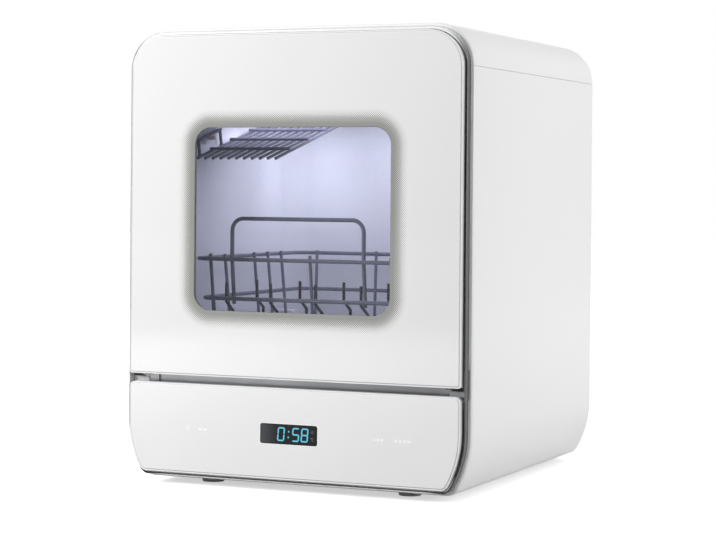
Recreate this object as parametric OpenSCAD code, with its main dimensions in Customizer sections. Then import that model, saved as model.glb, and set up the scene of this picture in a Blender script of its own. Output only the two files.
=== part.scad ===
// Countertop dishwasher with a drop-down glass door, a pull-out wire basket and a built-in water tank.
// Origin: bottom centre of the machine. X runs to the right seen from the front, Y to the back, Z up.
// Depths are measured backwards from the front face of the door glass.

/* [Body] */
// Width of the casing
body_w = 356; // [350:1:380]
// Depth from the door glass to the back rim
body_d = 371; // [365:1:400]
// Overall height with the feet
body_h = 440; // [436:1:470]
// Thickness of the moulded casing panels
shell_t = 2.8; // [2.4:0.1:3.4]
// Radius of the two top corners
top_r = 40; // [34:1:46]
// Radius of the curved flanks near the base
belly_r = 106; // [100:1:120]
// Height of the centre of the flank curve
belly_z = 65; // [62:1:70]
// Small radius where the flank turns under
under_r = 14; // [13:0.5:18]
// Depth of the rounded nose at the front rim of the casing
nose_len = 5; // [3:0.5:9]
// Width of the screw flange at the back rim
back_flange = 9; // [8:0.5:11]
// Gap at the seam between top cover and side panels
seam_gap = 0.3; // [0.2:0.05:0.6]
// Height of the rubber feet
foot_h = 6; // [5:0.5:9]
// Radius of each foot
foot_r = 12; // [9:0.5:14]

/* [Front] */
// Side reveal between the casing outline and the door and panel edges
reveal = 6; // [5:0.5:7]
// Reveal above the door
reveal_top = 7; // [6:0.5:9]
// Reveal below the control panel
reveal_low = 7; // [6:0.5:9]
// Height of the control panel
panel_h = 85.7; // [80:0.5:92]
// Gap between the door and the control panel
door_gap = 7.9; // [7.6:0.1:9]
// Thickness of the outer glass
glass_t = 3.2; // [2.8:0.1:3.3]
// Depth of the white edge of the door and of the panel
edge_d = 6.8; // [6.4:0.1:7.2]
// Thickness of the rim round the glass
rim_t = 1.4; // [1:0.1:2]
// Depth of the inner door behind the glass
plug_d = 25; // [23:0.5:27]
// Depth at which the casing rim starts
rim_set = 14.5; // [13.5:0.5:16]
// Depth at which the lip of the grey front frame starts
lip_d = 4.5; // [3.5:0.5:6]
// Depth of the face of the grey front frame
web_d = 13; // [12.6:0.1:13.4]
// Thickness of the grey front frame
web_t = 2.5; // [2:0.1:2.5]

/* [Window] */
// Distance of the clear window from each side of the door
window_side = 70.5; // [65:0.5:82]
// Distance of the clear window below the upper edge of the door
window_down = 89; // [88:0.5:112]
// Height of the window above the lower edge of the door
window_up = 62.9; // [60:0.1:70]
// Corner radius of the clear window
window_r = 17; // [12:1:24]
// Thickness of the inner pane
pane_t = 3; // [2.6:0.1:3.2]

/* [Display] */
// Width of the display window
display_w = 59; // [50:1:64]
// Height of the display window
display_h = 18.7; // [14:0.1:20]
// Height of the display window above the lower edge of the panel
display_up = 33.4; // [30:0.1:38]
// Distance of the outer left touch key from the centre of the panel
key_left_out = 107; // [104:1:120]
// Distance of the inner left touch key from the centre of the panel
key_left_in = 91; // [70:1:92]
// Distance of the inner right touch key from the centre of the panel
key_right_in = 89; // [70:1:98]
// Distance of the outer right touch key from the centre of the panel
key_right_out = 114; // [110:1:120]

/* [Hinge] */
// Depth of the door hinge axis behind the glass
hinge_d = 9.5; // [9.4:0.1:9.6]
// Height of the hinge axis above the lower edge of the door
hinge_up = 3; // [3:0.1:3.4]
// Radius of the hinge pins
hinge_pin_r = 2.5; // [2:0.1:3]
// Radius of the hinge knuckles
knuckle_r = 5.5; // [5.2:0.1:5.6]
// Radial clearance of pins in their bores
pin_play = 0.05; // [0.02:0.01:0.1]

/* [Tub] */
// Room between the casing outline and the wash chamber on each side
tub_side = 28; // [26:0.5:30]
// Room between the back wall of the wash chamber and the back rim
tub_back = 56; // [54:1:70]
// Room between the ceiling of the wash chamber and the top of the machine
tub_roof = 74; // [72:1:80]
// Height of the wash chamber floor above the lower edge of the door
floor_up = 11.4; // [11:0.1:12]
// Wall thickness of the wash chamber
tub_t = 2.2; // [2:0.1:2.4]
// Inner edge radius of the wash chamber
tub_r = 25; // [20:1:28]
// Radius of the sump below the chamber floor
sump_r = 64; // [60:1:66]
// Depth of the sump below the chamber floor
sump_h = 58; // [54:1:60]

/* [Spray] */
// Length of the spray arm from its axis
arm_len = 124; // [100:1:126]
// Thickness of the spray arm
arm_t = 8; // [7:0.5:8.5]
// Radius of the bearing post of the spray arm
post_r = 7; // [6:0.5:8]
// Radius of the filter cup
filter_r = 22; // [19:0.5:23]
// Distance of the filter cup from the spray axis
filter_off = 35; // [34:0.5:36]

/* [Basket] */
// Radius of the rim wires of the basket
wire_r = 2; // [1.6:0.1:2.2]
// Radius of the upright and floor wires of the basket
thin_r = 1.6; // [1.3:0.1:1.8]
// Height of the upper rail above the chamber floor
basket_top = 98.5; // [92:0.5:105]
// Height of the middle rail above the chamber floor
basket_mid = 59.5; // [55:0.5:62]
// Height of the lowest wires above the chamber floor
basket_low = 27.5; // [27:0.1:28.5]
// Depth of the basket front behind the glass
basket_front = 60; // [60:1:64]
// Set-back of the basket foot from its upper rail
basket_lean = 10; // [8:1:14]
// Gap between the basket rim and the chamber wall
basket_gap = 16; // [15:0.5:20]
// Height of the handle loop above the upper rail
loop_h = 40; // [30:1:50]
// Width of the handle loop
loop_w = 141; // [120:1:150]
// Offset of the handle loop to the left
loop_off = 23; // [0:1:30]
// Height of the plate tines above the chamber floor
tine_top = 74; // [66:1:84]
// Spacing of the plate tines
tine_pitch = 49; // [44:1:52]

/* [Shelf] */
// Width of the upper shelf
shelf_w = 87; // [70:1:100]
// Length of the upper shelf from front to back
shelf_len = 160; // [130:1:170]
// Slope of the shelf, rising to the back
shelf_tilt = 13.8; // [8:0.1:14]
// Depth of the front edge of the shelf behind the glass
shelf_front = 80; // [70:1:90]
// Drop of the front edge of the shelf below the chamber ceiling
shelf_down = 50; // [48:1:63]
// Spacing of the shelf wires
shelf_pitch = 8.7; // [7.5:0.1:12]

/* [Fill port] */
// Width of the water fill lid
lid_w = 112; // [90:1:130]
// Length of the water fill lid from front to back
lid_l = 50; // [46:1:54]
// Thickness of the water fill lid
lid_t = 5; // [4.5:0.1:5.4]

/* [Hidden] */

$fn = 48;
arc_n = 12;
eps = 0.01;
seat = 0.2;
run = 0.3;

half_w = body_w / 2;
panel_z = foot_h + reveal_low;
panel_top = panel_z + panel_h;
door_z = panel_top + door_gap;
door_top = body_h - reveal_top;
door_half = half_w - reveal;
hinge_z = door_z + hinge_up;
window_w = 2 * (door_half - window_side);
window_z = door_z + window_up;
window_h = door_top - window_down - window_z;
floor_z = door_z + floor_up;
roof_z = body_h - tub_roof;
tub_half = half_w - tub_side;
tub_end = body_d - tub_back;

// Depth behind the glass turned into the Y of the model
function yd(d) = d - body_d / 2;

// Points on an arc about (cx, cz) from angle a to angle b
function arc(cx, cz, r, a, b) =
    [for (i = [0 : arc_n]) let (t = a + (b - a) * i / arc_n) [cx + r * cos(t), cz + r * sin(t)]];

function mirrored(pts) = [for (i = [len(pts) - 1 : -1 : 0]) [-pts[i][0], pts[i][1]]];

// Right flank of the cabinet outline drawn in by s, standing at height low
function belly_cx() = half_w - belly_r;
function under_cz(s, low) = low + under_r - s;
function flank_angle(s, low) = asin((belly_z - under_cz(s, low)) / (belly_r - under_r));
function under_cx(s, low) = belly_cx() + (belly_r - under_r) * cos(flank_angle(s, low));
function flank(s, low) = concat(
    arc(under_cx(s, low), under_cz(s, low), under_r - s, -90, -flank_angle(s, low)),
    arc(belly_cx(), belly_z, belly_r - s, -flank_angle(s, low), 0));

// Whole cabinet outline drawn in by s, from height low to height high, with top corners of radius r
function outline(s, low, high, r) = let (
    right = concat(flank(s, low), arc(half_w - s - r, high - r, r, 0, 90)))
    concat(right, mirrored(right));

module cabinet_shape(s) polygon(outline(s, foot_h + s, body_h - s, top_r - s));
module panel_shape(s) polygon(outline(reveal + s, panel_z + s, panel_top - s, 6 - s));

// Plate or prism lying between two depths, drawn in X and Z
module slab(d0, d1) translate([0, yd(d1), 0]) rotate([90, 0, 0]) linear_extrude(d1 - d0) children();

// Rectangle with rounded corners between two opposite corners
module rounded(x0, z0, x1, z1, r) {
    translate([x0 + r, z0]) square([x1 - x0 - 2 * r, z1 - z0]);
    translate([x0, z0 + r]) square([x1 - x0, z1 - z0 - 2 * r]);
    for (x = [x0 + r, x1 - r], z = [z0 + r, z1 - r]) translate([x, z]) circle(r);
}

// Symmetric rounded rectangle of half width w
module pane(w, z0, z1, r) rounded(-w, z0, w, z1, r);

// Outline of the door drawn in by s: large radii above, small ones below
module door_shape(s) {
    r = 34 - s;
    low_r = 2.5;
    polygon(concat(
        arc(door_half - s - low_r, door_z + s + low_r, low_r, -90, 0),
        arc(door_half - s - r, door_top - s - r, r, 0, 90),
        arc(-door_half + s + r, door_top - s - r, r, 90, 180),
        arc(-door_half + s + low_r, door_z + s + low_r, low_r, 180, 270)));
}

// Straight round wire from point a to point b
module rod(a, b, r) {
    v = b - a;
    h = norm(v);
    translate(a) rotate([0, acos(v[2] / h), atan2(v[1], v[0])]) cylinder(r = r, h = h);
}

// Bent round wire through a list of points
module wire(pts, r) {
    for (i = [0 : len(pts) - 2]) rod(pts[i], pts[i + 1], r);
    for (i = [1 : len(pts) - 2]) translate(pts[i]) sphere(r);
}

module both_sides() {
    children();
    mirror([1, 0, 0]) children();
}

// Section of the casing wall: first value inwards from the outline, second value the depth
nose_in = 2;
back_round = 2.5;
flange_d = body_d - 9.5;
function casing_section() = concat(
    [for (i = [0 : 5]) let (t = 18 * i)
        [nose_in * (1 - sin(t)), rim_set + nose_len * (1 - cos(t))]],
    [for (i = [0 : 5]) let (t = 18 * i)
        [back_round * (1 - cos(t)), body_d - back_round * (1 - sin(t))]],
    [[shell_t, body_d], [shell_t, flange_d + 2.5], [shell_t + back_flange, flange_d + 2.5],
     [shell_t + back_flange, flange_d], [shell_t, flange_d], [shell_t, rim_set]]);

// The section carried along a straight edge; a is the direction of the outward normal
module edge_line(section, x, z, a, length)
    translate([x, z, 0]) rotate([0, 0, a]) rotate([90, 0, 0]) linear_extrude(length)
        polygon([for (p = section) [-p[0], -p[1]]]);

// The section carried round an arc from angle a down to angle b
module edge_arc(section, cx, cz, r, a, b)
    translate([cx, cz, 0]) rotate([0, 0, b]) rotate_extrude(angle = a - b, $fn = 96)
        polygon([for (p = section) [r - p[0], -p[1]]]);

module upright() translate([0, yd(0), 0]) rotate([90, 0, 0]) children();

module top_run(section) {
    edge_line(section, 0, body_h, 90, half_w - top_r);
    edge_arc(section, half_w - top_r, body_h - top_r, top_r, 90, 0);
}

// Core inside the wall that carries on from one flank arc into the next
key_section = [[0.7, rim_set + nose_len + 2], [0.7, flange_d - 2],
               [shell_t - 0.7, flange_d - 2], [shell_t - 0.7, rim_set + nose_len + 2]];

module side_run(section, top, end_x) {
    cz = under_cz(0, foot_h);
    cx = under_cx(0, foot_h);
    phi = flank_angle(0, foot_h);
    edge_line(section, half_w, top, 0, top - belly_z);
    translate([belly_cx(), belly_z, 0]) mirror([0, 1, 0]) rotate_extrude(angle = phi, $fn = 96)
        polygon([for (p = section) [belly_r - p[0], -p[1]]]);
    edge_arc(section, cx, cz, under_r, -phi, -90);
    edge_line(section, cx, foot_h, -90, cx - end_x);
}

module flank_key() {
    phi = flank_angle(0, foot_h);
    edge_arc(key_section, belly_cx(), belly_z, belly_r, -phi + 1, -phi - 1);
}

// Screws of the rear panel, in X and Z
screw_in = 7.5;
screw_low = 130;
screw_high = body_h - 80;
screw_mid = (screw_low + screw_high) / 2;
screw_x = half_w - screw_in;
screw_top_x = half_w - 78;
screw_pts = concat([for (x = [-screw_x, screw_x], z = [screw_low, screw_mid, screw_high]) [x, z]],
                   [for (x = [-screw_top_x, screw_top_x]) [x, body_h - screw_in]]);
screw_r = 1.5;
rear_d = flange_d + 2.5 + seat;
rear_t = 2.5;
module screw_holes(d0, d1) slab(d0, d1) for (p = screw_pts) translate(p) circle(screw_r + 0.1);

base_half = 120;
module right_side_panel() color("white") difference() {
    upright() {
        side_run(casing_section(), body_h - top_r - seam_gap, base_half);
        flank_key();
    }
    screw_holes(flange_d - 1, flange_d + 4);
}

module left_side_panel() mirror([1, 0, 0]) right_side_panel();

// Pocket in the top cover for the fill lid
pocket_d1 = body_d - 11;
pocket_d0 = pocket_d1 - lid_l - 4;
pocket_half = lid_w / 2 + 1;
pocket_wall = 2.4;
pocket_z = body_h - lid_t - 1;
lid_axis_d = pocket_d1 - 3.6;
lid_axis_z = body_h - lid_t / 2 - 0.4;
lid_pin_r = 1.2;
fill_d = body_d - 34;
fill_r = 19;

module top_cover() color("white") difference() {
    union() {
        difference() {
            upright() both_sides() top_run(casing_section());
            translate([-pocket_half, yd(pocket_d0), pocket_z])
                cube([2 * pocket_half, pocket_d1 - pocket_d0, 20]);
        }
        difference() {
            translate([-pocket_half - pocket_wall, yd(pocket_d0) - pocket_wall, pocket_z - pocket_wall])
                cube([2 * (pocket_half + pocket_wall), pocket_d1 - pocket_d0 + 2 * pocket_wall,
                      body_h - shell_t / 2 - pocket_z + pocket_wall]);
            translate([-pocket_half, yd(pocket_d0), pocket_z])
                cube([2 * pocket_half, pocket_d1 - pocket_d0, 20]);
        }
    }
    translate([0, yd(fill_d), pocket_z - 10]) cylinder(r = fill_r + 3.2, h = 20);
    translate([-pocket_half - 10, yd(lid_axis_d), lid_axis_z]) rotate([0, 90, 0])
        cylinder(r = lid_pin_r + pin_play, h = 2 * pocket_half + 20);
    screw_holes(flange_d - 1, flange_d + 4);
}

// Fittings on the back, in X and Z
niche = [-150, 60, 150, 112];
niche_d = body_d - 30;
inlet_x = -112;
drain_x = 92;
port_z = 88;
gland = [140, 88];
inlet_r = 13.2;
drain_r = 8;
spout_r = 8.6;
gland_r = 9;
collar_t = 2.5;
collar_y = yd(niche_d) + rear_t + 0.1;
port_free = 16;

module rear_panel() color("gainsboro") {
    difference() {
        slab(rear_d, rear_d + rear_t) difference() {
            cabinet_shape(shell_t + run);
            rounded(niche[0], niche[1], niche[2], niche[3], 8);
            for (i = [0 : 6], x = [-34, 34]) translate([x - 26, 140 + 9 * i]) square([52, 4]);
            for (i = [0 : 3]) translate([fan_x - 22, fan_z0 + 3 + 6 * i]) square([56, 3]);
            for (i = [0 : 4], x = [-80, 0, 80]) translate([x - 26, 22 + 7 * i]) square([52, 3]);
        }
        screw_holes(rear_d - 1, rear_d + rear_t + 1);
    }
    slab(niche_d + rear_t, rear_d + rear_t) difference() {
        rounded(niche[0] - rear_t, niche[1] - rear_t, niche[2] + rear_t, niche[3] + rear_t, 10);
        rounded(niche[0], niche[1], niche[2], niche[3], 8);
    }
    slab(niche_d, niche_d + rear_t) difference() {
        rounded(niche[0] - rear_t, niche[1] - rear_t, niche[2] + rear_t, niche[3] + rear_t, 10);
        translate([inlet_x, port_z]) circle(inlet_r + seat);
        translate([drain_x, port_z]) circle(spout_r + seat);
        translate(gland) circle(gland_r + seat);
    }
}

module rear_screws() color("silver") for (p = screw_pts) translate([p[0], yd(rear_d + rear_t), p[1]])
    rotate([-90, 0, 0]) {
        translate([0, 0, seat / 2]) cylinder(r1 = 3.6, r2 = 2.8, h = 1.8);
        translate([0, 0, -rear_t - 3]) cylinder(r = screw_r, h = rear_t + 3 + 0.5);
    }

base_z = foot_h + shell_t + seat;
base_t = 2.2;
foot_x = base_half - foot_r - 4;
foot_ds = [48, body_d - 48];
module base_pan() color("gainsboro") difference() {
    union() {
        translate([-base_half - 22, yd(20), base_z])
            cube([2 * base_half + 44, flange_d - 22, base_t]);
        translate([-base_half + run, yd(20), foot_h]) cube([2 * (base_half - run), flange_d - 22, 5]);
    }
    translate([-base_half + 30, yd(34), foot_h - 1])
        cube([2 * base_half - 60, flange_d - 50, shell_t + seat + 1]);
    for (x = [-foot_x, foot_x], d = foot_ds) translate([x, yd(d), foot_h - 1])
        cylinder(r = 4 + 0.1, h = 10);
}

module feet() color("dimgray") for (x = [-foot_x, foot_x], d = foot_ds) translate([x, yd(d), 0]) {
    difference() {
        cylinder(r1 = foot_r - 1.5, r2 = foot_r, h = foot_h - 0.1);
        translate([0, 0, -eps]) cylinder(r = foot_r - 5, h = 1.5);
    }
    cylinder(r = 4, h = base_z + base_t);
    translate([0, 0, base_z + base_t + 0.1]) cylinder(r1 = 5.5, r2 = 3.5, h = 2.5);
    translate([0, 0, base_z + base_t - 1]) cylinder(r = 3.5, h = 2);
}

// Grey front frame: a thin lip proud of the casing, a face behind the door, and a recess for the hinge
lip_in = shell_t + 0.2;
lip_t = 1.2;
opening_half = tub_half - 1;
opening_low = floor_z + 8;
opening_high = roof_z - 2;
opening_r = tub_r - 3;
seal_w = 6.5;
recess_d = web_d + web_t + 0.5;
recess_low = panel_top - 1.7;
recess_high = hinge_z + 11.9;
housing_half = door_half - 30;
housing_low = panel_z + 9;
housing_high = panel_top - 6;
lip_section = [[lip_in, lip_d + 0.7], [lip_in + 0.4, lip_d], [lip_in + 0.8, lip_d],
               [lip_in + lip_t, lip_d + 0.7], [lip_in + lip_t, recess_d + web_t], [lip_in, recess_d + web_t]];

module frame_band(z0, z1) intersection() {
    cabinet_shape(lip_in + lip_t / 2);
    translate([-half_w, z0]) square([body_w, z1 - z0]);
}

module seal_hole(grow) pane(opening_half + seal_w + grow, opening_low - seal_w - grow,
                            opening_high + seal_w + grow, opening_r + seal_w + grow);

module front_frame() color("dimgray") difference() {
    union() {
        upright() both_sides() {
            top_run(lip_section);
            side_run(lip_section, body_h - top_r, 0);
        }
        slab(web_d, web_d + web_t) frame_band(recess_high, body_h);
        slab(web_d, web_d + web_t) frame_band(0, recess_low);
        slab(web_d, recess_d + web_t) frame_band(recess_low - web_t, recess_low);
        slab(web_d, recess_d + web_t) frame_band(recess_high, recess_high + web_t);
        slab(recess_d, recess_d + web_t) frame_band(recess_low - web_t, recess_high + web_t);
    }
    slab(web_d - 1, recess_d + web_t + 1) {
        seal_hole(1);
        translate([-opening_half - seal_w - 1, floor_z - 2.6])
            square([2 * (opening_half + seal_w + 1), 40]);
        pane(housing_half + 0.5, housing_low - 0.5, housing_high + 0.5, 6.5);
        pane(12, strike_z - 5, strike_z + 5, 2);
    }
}

// Wash chamber: a box open at the front, rounded along every inner edge, with a flange and a sill
tub_front = web_d + web_t + seat;
sump_d = (plug_d + tub_end) / 2;
module chamber(grow) intersection() {
    slab(tub_front, tub_end + grow)
        pane(tub_half + grow, floor_z - grow, roof_z + grow, tub_r + grow);
    translate([0, 0, floor_z - grow]) linear_extrude(roof_z - floor_z + 2 * grow)
        translate([0, yd(0)]) rounded(-tub_half - grow, -60, tub_half + grow, tub_end + grow, tub_r + grow);
    translate([-tub_half - grow, 0, 0]) rotate([90, 0, 90]) linear_extrude(2 * (tub_half + grow))
        translate([yd(0), 0]) rounded(-60, floor_z - grow, tub_end + grow, roof_z + grow, tub_r + grow);
}

lamp_half = 34;
lamp_d = 50;
lamp_l = 16;
fan_x = 74;
fan_d = 190;
duct_r = 15;
float_x = -tub_half + 42;
float_d = tub_end - 48;
float_pin_r = 3;
tank_d0 = tub_end + tub_t + 1.8;
tank_d1 = body_d - 10.5;

module tub() color("white") difference() {
    union() {
        difference() {
            union() {
                chamber(tub_t);
                slab(tub_front, tub_front + tub_t) {
                    pane(opening_half + 17, recess_high + web_t + 0.4, opening_high + 14, 24);
                    pane(opening_half + seal_w + 0.6, floor_z - tub_t, opening_high, 6);
                }
            }
            difference() {
                chamber(0);
                slab(tub_front - 1, tub_front + tub_t) pane(tub_half + 30, 0, body_h, 5);
            }
            slab(tub_front - 1, tub_front + tub_t + 1)
                pane(opening_half, opening_low, opening_high, opening_r);
        }
        translate([float_x, yd(float_d), floor_z - 1]) cylinder(r = float_pin_r, h = 17);
        translate([float_x, yd(float_d), floor_z + 15.2]) cylinder(r1 = float_pin_r + 1.4, r2 = 2, h = 2);
    }
    translate([0, yd(sump_d), floor_z - 10]) cylinder(r = sump_r, h = 20, $fn = 96);
    translate([-lamp_half, yd(lamp_d), roof_z - 10]) cube([2 * lamp_half, lamp_l, 20]);
    translate([fan_x, yd(fan_d), roof_z - 10]) cylinder(r = duct_r - 2, h = 20);
}

module door_seal() color("darkslategray") slab(plug_front + run, tub_front - 0.1) difference() {
    seal_hole(0);
    pane(opening_half + 0.8, opening_low - 0.8, opening_high + 0.8, opening_r + 0.8);
}

// Control panel and what sits behind it
display_z = panel_z + display_up;
key_xs = [-key_left_out, -key_left_in, key_right_in, key_right_out];
board_d = 20;
board_t = 1.6;
board_x0 = -key_left_out - 13;
board_x1 = key_right_out + 6;
board_low = display_z - 12;
board_high = display_z + 32;
relay_r = 7;
relay_h = 8;
relay_xs = [-key_left_in + 13, -key_left_in + 35, key_right_in - 29];
chip_half = 19;
plug_w = 24;
hole_in = 6;
module display_hole(grow) rounded(-display_w / 2 - grow, display_z - grow,
                                  display_w / 2 + grow, display_z + display_h + grow, 2 + grow);

module control_panel() color("white") slab(0, glass_t) difference() {
    panel_shape(rim_t);
    display_hole(0.1);
}

module panel_housing() color("white") difference() {
    union() {
        slab(0.5, edge_d) difference() {
            panel_shape(0);
            panel_shape(rim_t - 0.15);
        }
        slab(glass_t + seat, edge_d) panel_shape(0.5);
        slab(edge_d - 1, board_d + 14) pane(housing_half, housing_low, housing_high, 6);
    }
    slab(edge_d + 0.01, board_d + 12) pane(housing_half - 2, housing_low + 2, housing_high - 2, 4);
    slab(glass_t, edge_d + 1) {
        display_hole(2);
        for (x = key_xs) translate([x, display_z + display_h / 2]) circle(6);
    }
}

module display_lens() color("black") slab(0.2, glass_t - 0.1) display_hole(-0.1);

module display_module() color("dimgray") {
    slab(glass_t + 0.1, board_d - seat) display_hole(0.6);
}

module control_board() color("seagreen") difference() {
    union() {
        slab(board_d, board_d + board_t) square_at(board_x0, board_low, board_x1, board_high);
        for (x = relay_xs) slab(board_d + board_t / 2, board_d + board_t / 2 + relay_h)
            translate([x, board_low + 18]) circle(relay_r);
        slab(board_d + board_t / 2, board_d + relay_h)
            square_at(-chip_half - 11, board_low + 8, chip_half - 11, board_high - 18);
        slab(board_d + board_t / 2, board_d + relay_h - 2)
            square_at(board_x1 - hole_in - plug_w, board_low + 8, board_x1 - hole_in, board_high - 22);
    }
    for (x = [board_x0 + hole_in, board_x1 - hole_in]) slab(board_d - 1, board_d + board_t + 1)
        translate([x, board_low + 5]) circle(1.8);
}

module square_at(x0, z0, x1, z1) translate([x0, z0]) square([x1 - x0, z1 - z0]);

module touch_springs() color("silver") for (x = key_xs)
    translate([x, yd(board_d - seat / 2), display_z + display_h / 2]) rotate([90, 0, 0]) {
        h = board_d - glass_t - seat;
        cylinder(r = 2.2, h = h);
        translate([0, 0, h - 0.8]) cylinder(r = 5.4, h = 0.8);
        for (i = [1 : 4]) translate([0, 0, h * i / 6]) cylinder(r = 3.4, h = 1.2);
    }

// Door hinge: cabinet-side brackets with pins, door-side arms with knuckles
ear_x0 = door_half - 17.3;
ear_x1 = door_half - 11.6;
knuckle_x0 = door_half - 11;
knuckle_x1 = door_half - 2.4;
ear_r = knuckle_r - 0.5;
pocket_r = knuckle_r + 0.3;
arm_d = edge_d + seat;
arm_plate = 2.5;
arm_top = 68;

module hinge_axis(x) translate([x, yd(hinge_d), hinge_z]) rotate([0, 90, 0]) children();

module hinge_brackets() color("black") both_sides() difference() {
    union() {
        hinge_axis(ear_x0) cylinder(r = ear_r, h = ear_x1 - ear_x0);
        translate([ear_x0, yd(hinge_d), hinge_z - ear_r])
            cube([ear_x1 - ear_x0, recess_d - seat - hinge_d, 1.6 * ear_r]);
        slab(recess_d - seat - 2, recess_d - seat)
            square_at(ear_x0 - 8, recess_low + 1, ear_x1, floor_z - 3.2);
    }
    hinge_axis(ear_x0 - 1) cylinder(r = hinge_pin_r + pin_play, h = 20);
}

module hinge_pins() color("silver") both_sides() hinge_axis(ear_x0 - 1)
    cylinder(r = hinge_pin_r, h = knuckle_x1 - ear_x0 + 1);

module hinge_arms() color("black") both_sides() difference() {
    union() {
        hinge_axis(knuckle_x0) cylinder(r = knuckle_r, h = knuckle_x1 - knuckle_x0);
        slab(arm_d, arm_d + arm_plate) rounded(knuckle_x0, hinge_z, knuckle_x1, hinge_z + arm_top, 2);
        slab(hinge_d, arm_d + arm_plate + 3) rounded(knuckle_x0 + 2.5, hinge_z, knuckle_x1 - 2.5,
                                                     hinge_z + arm_top - 12, 1.5);
    }
    hinge_axis(knuckle_x0 - 1) cylinder(r = hinge_pin_r + pin_play, h = 20);
}

// Catch at the top of the door
strike_z = roof_z + (door_top - roof_z) / 2;
strike_half = 8;
strike_t = 4;
strike_end = 30;
module door_lock() color("dimgray") difference() {
    slab(tub_front + 0.1, strike_end + 12) pane(24, strike_z - 11, strike_z + 11, 3);
    slab(tub_front - 1, strike_end + 4) pane(strike_half + 2, strike_z - 4.5, strike_z + 4.5, 1);
}

module door_strike() color("silver") difference() {
    union() {
        slab(arm_d, arm_d + 1.8) pane(strike_half + 10, strike_z - 7, strike_z + 7, 3);
        slab(arm_d, strike_end) pane(strike_half, strike_z - strike_t / 2, strike_z + strike_t / 2, 1);
    }
    translate([0, yd(strike_end - 8), strike_z - 10]) cylinder(r = 3.5, h = 20);
    for (x = [-strike_half - 5, strike_half + 5]) slab(arm_d - 1, arm_d + 3)
        translate([x, strike_z]) circle(1.7);
}

// Sump, filters and spray arm below the basket
ledge_z = floor_z - tub_t - seat;
sump_wall = 2.4;
sump_z = floor_z - sump_h;
riser_r = 9;
port_r = 10;
pump_z = sump_z + 12;
pump_off = 18;
drain_z = port_z;
module sump_pipe(r, h) difference() {
    cylinder(r = r + 2.6, h = h);
    translate([0, 0, -1]) cylinder(r = r + 0.1, h = h + 2);
}

module sump() color("lightgray") translate([0, yd(sump_d), 0]) {
    difference() {
        union() {
            translate([0, 0, sump_z]) cylinder(r = sump_r + sump_wall, h = ledge_z - sump_z, $fn = 96);
            translate([0, 0, ledge_z - 3]) cylinder(r = sump_r + 12, h = 3, $fn = 96);
        }
        translate([0, 0, ledge_z - 4]) cylinder(r = sump_r - 0.2, h = 10, $fn = 96);
        translate([0, 0, sump_z + sump_wall]) cylinder(r = sump_r - 5, h = sump_h, $fn = 96);
        translate([0, 0, sump_z - 1]) cylinder(r = 6.4, h = 10);
        translate([-sump_r - 10, pump_off, pump_z]) rotate([0, 90, 0]) cylinder(r = port_r + 0.1, h = 30);
        translate([sump_r - 20, 0, drain_z]) rotate([0, 90, 0]) cylinder(r = drain_r + 1.1, h = 30);
        translate([0, sump_r - 20, feed_z]) rotate([-90, 0, 0]) cylinder(r = 6.1, h = 30);
    }
    difference() {
        translate([0, 0, sump_z]) cylinder(r = riser_r, h = floor_z - 20 - sump_z);
        translate([0, 0, sump_z - 1]) cylinder(r = 6.4, h = sump_h);
    }
    translate([0, 0, sump_z - 12]) difference() {
        cylinder(r = 10.6, h = 12 + eps);
        translate([0, 0, -1]) cylinder(r = 8.1, h = 12);
        cylinder(r = 6.4, h = 14);
    }
    translate([-sump_r - 10, pump_off, pump_z]) rotate([0, 90, 0]) sump_pipe(port_r, 15);
    translate([sump_r - 1, 0, drain_z]) rotate([0, 90, 0]) sump_pipe(drain_r + 1, 11);
    translate([0, sump_r - 1, feed_z]) rotate([-90, 0, 0]) sump_pipe(6, 11);
}

plate_z = ledge_z - 4 + seat;
module filter_plate() color("silver") translate([0, yd(sump_d), 0]) difference() {
    translate([0, 0, plate_z]) union() {
        cylinder(r = sump_r - 0.6, h = 1.4, $fn = 96);
        difference() {
            cylinder(r = sump_r - 0.6, h = 4.6, $fn = 96);
            translate([0, 0, -1]) cylinder(r = sump_r - 2.2, h = 10, $fn = 96);
        }
    }
    translate([filter_off, 0, plate_z - 1]) cylinder(r = filter_r + 0.4, h = 10);
    translate([0, 0, plate_z - 1]) cylinder(r = riser_r + 2, h = 10);
    for (ring = [0 : 3]) let (r = 22 + 10 * ring, n = 10 + 4 * ring) for (i = [0 : n - 1])
        let (a = 90 + 15 + 300 * i / n * (ring > 1 ? 0.76 : 0.5))
        translate([r * cos(a), r * sin(a), plate_z - 1]) cylinder(r = 1.6, h = 4, $fn = 16);
}

module filter_cup() color("gray") translate([filter_off, yd(sump_d), 0]) {
    top = plate_z + 1.4 + run;
    difference() {
        union() {
            translate([0, 0, sump_z + 12]) cylinder(r = filter_r, h = top - sump_z - 12 + eps);
            translate([0, 0, top]) cylinder(r = filter_r + 1.6, h = 1.6);
        }
        translate([0, 0, sump_z + 14]) cylinder(r = filter_r - 2, h = sump_h);
        for (i = [0 : 7]) rotate([0, 0, 45 * i + 22.5]) translate([filter_r - 6, -5, sump_z + 20])
            cube([12, 10, 22]);
    }
    translate([-filter_r + 1, -1.2, top - 6]) cube([2 * filter_r - 2, 2.4, 9.6]);
}

arm_z = floor_z + 5.5;
module spray_post() color("gainsboro") translate([0, yd(sump_d), 0]) difference() {
    union() {
        translate([0, 0, floor_z - 20 + seat]) cylinder(r = riser_r, h = arm_z - floor_z + 20 - seat - run);
        translate([0, 0, arm_z - 3 - run]) cylinder(r = riser_r + 2, h = 3);
        cylinder_at(arm_z - run - eps, arm_z + arm_t + 0.6, post_r);
    }
    cylinder_at(floor_z - 30, arm_z + arm_t + 2, post_r - 2);
}

module cylinder_at(z0, z1, r) translate([0, 0, z0]) cylinder(r = r, h = z1 - z0);

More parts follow.
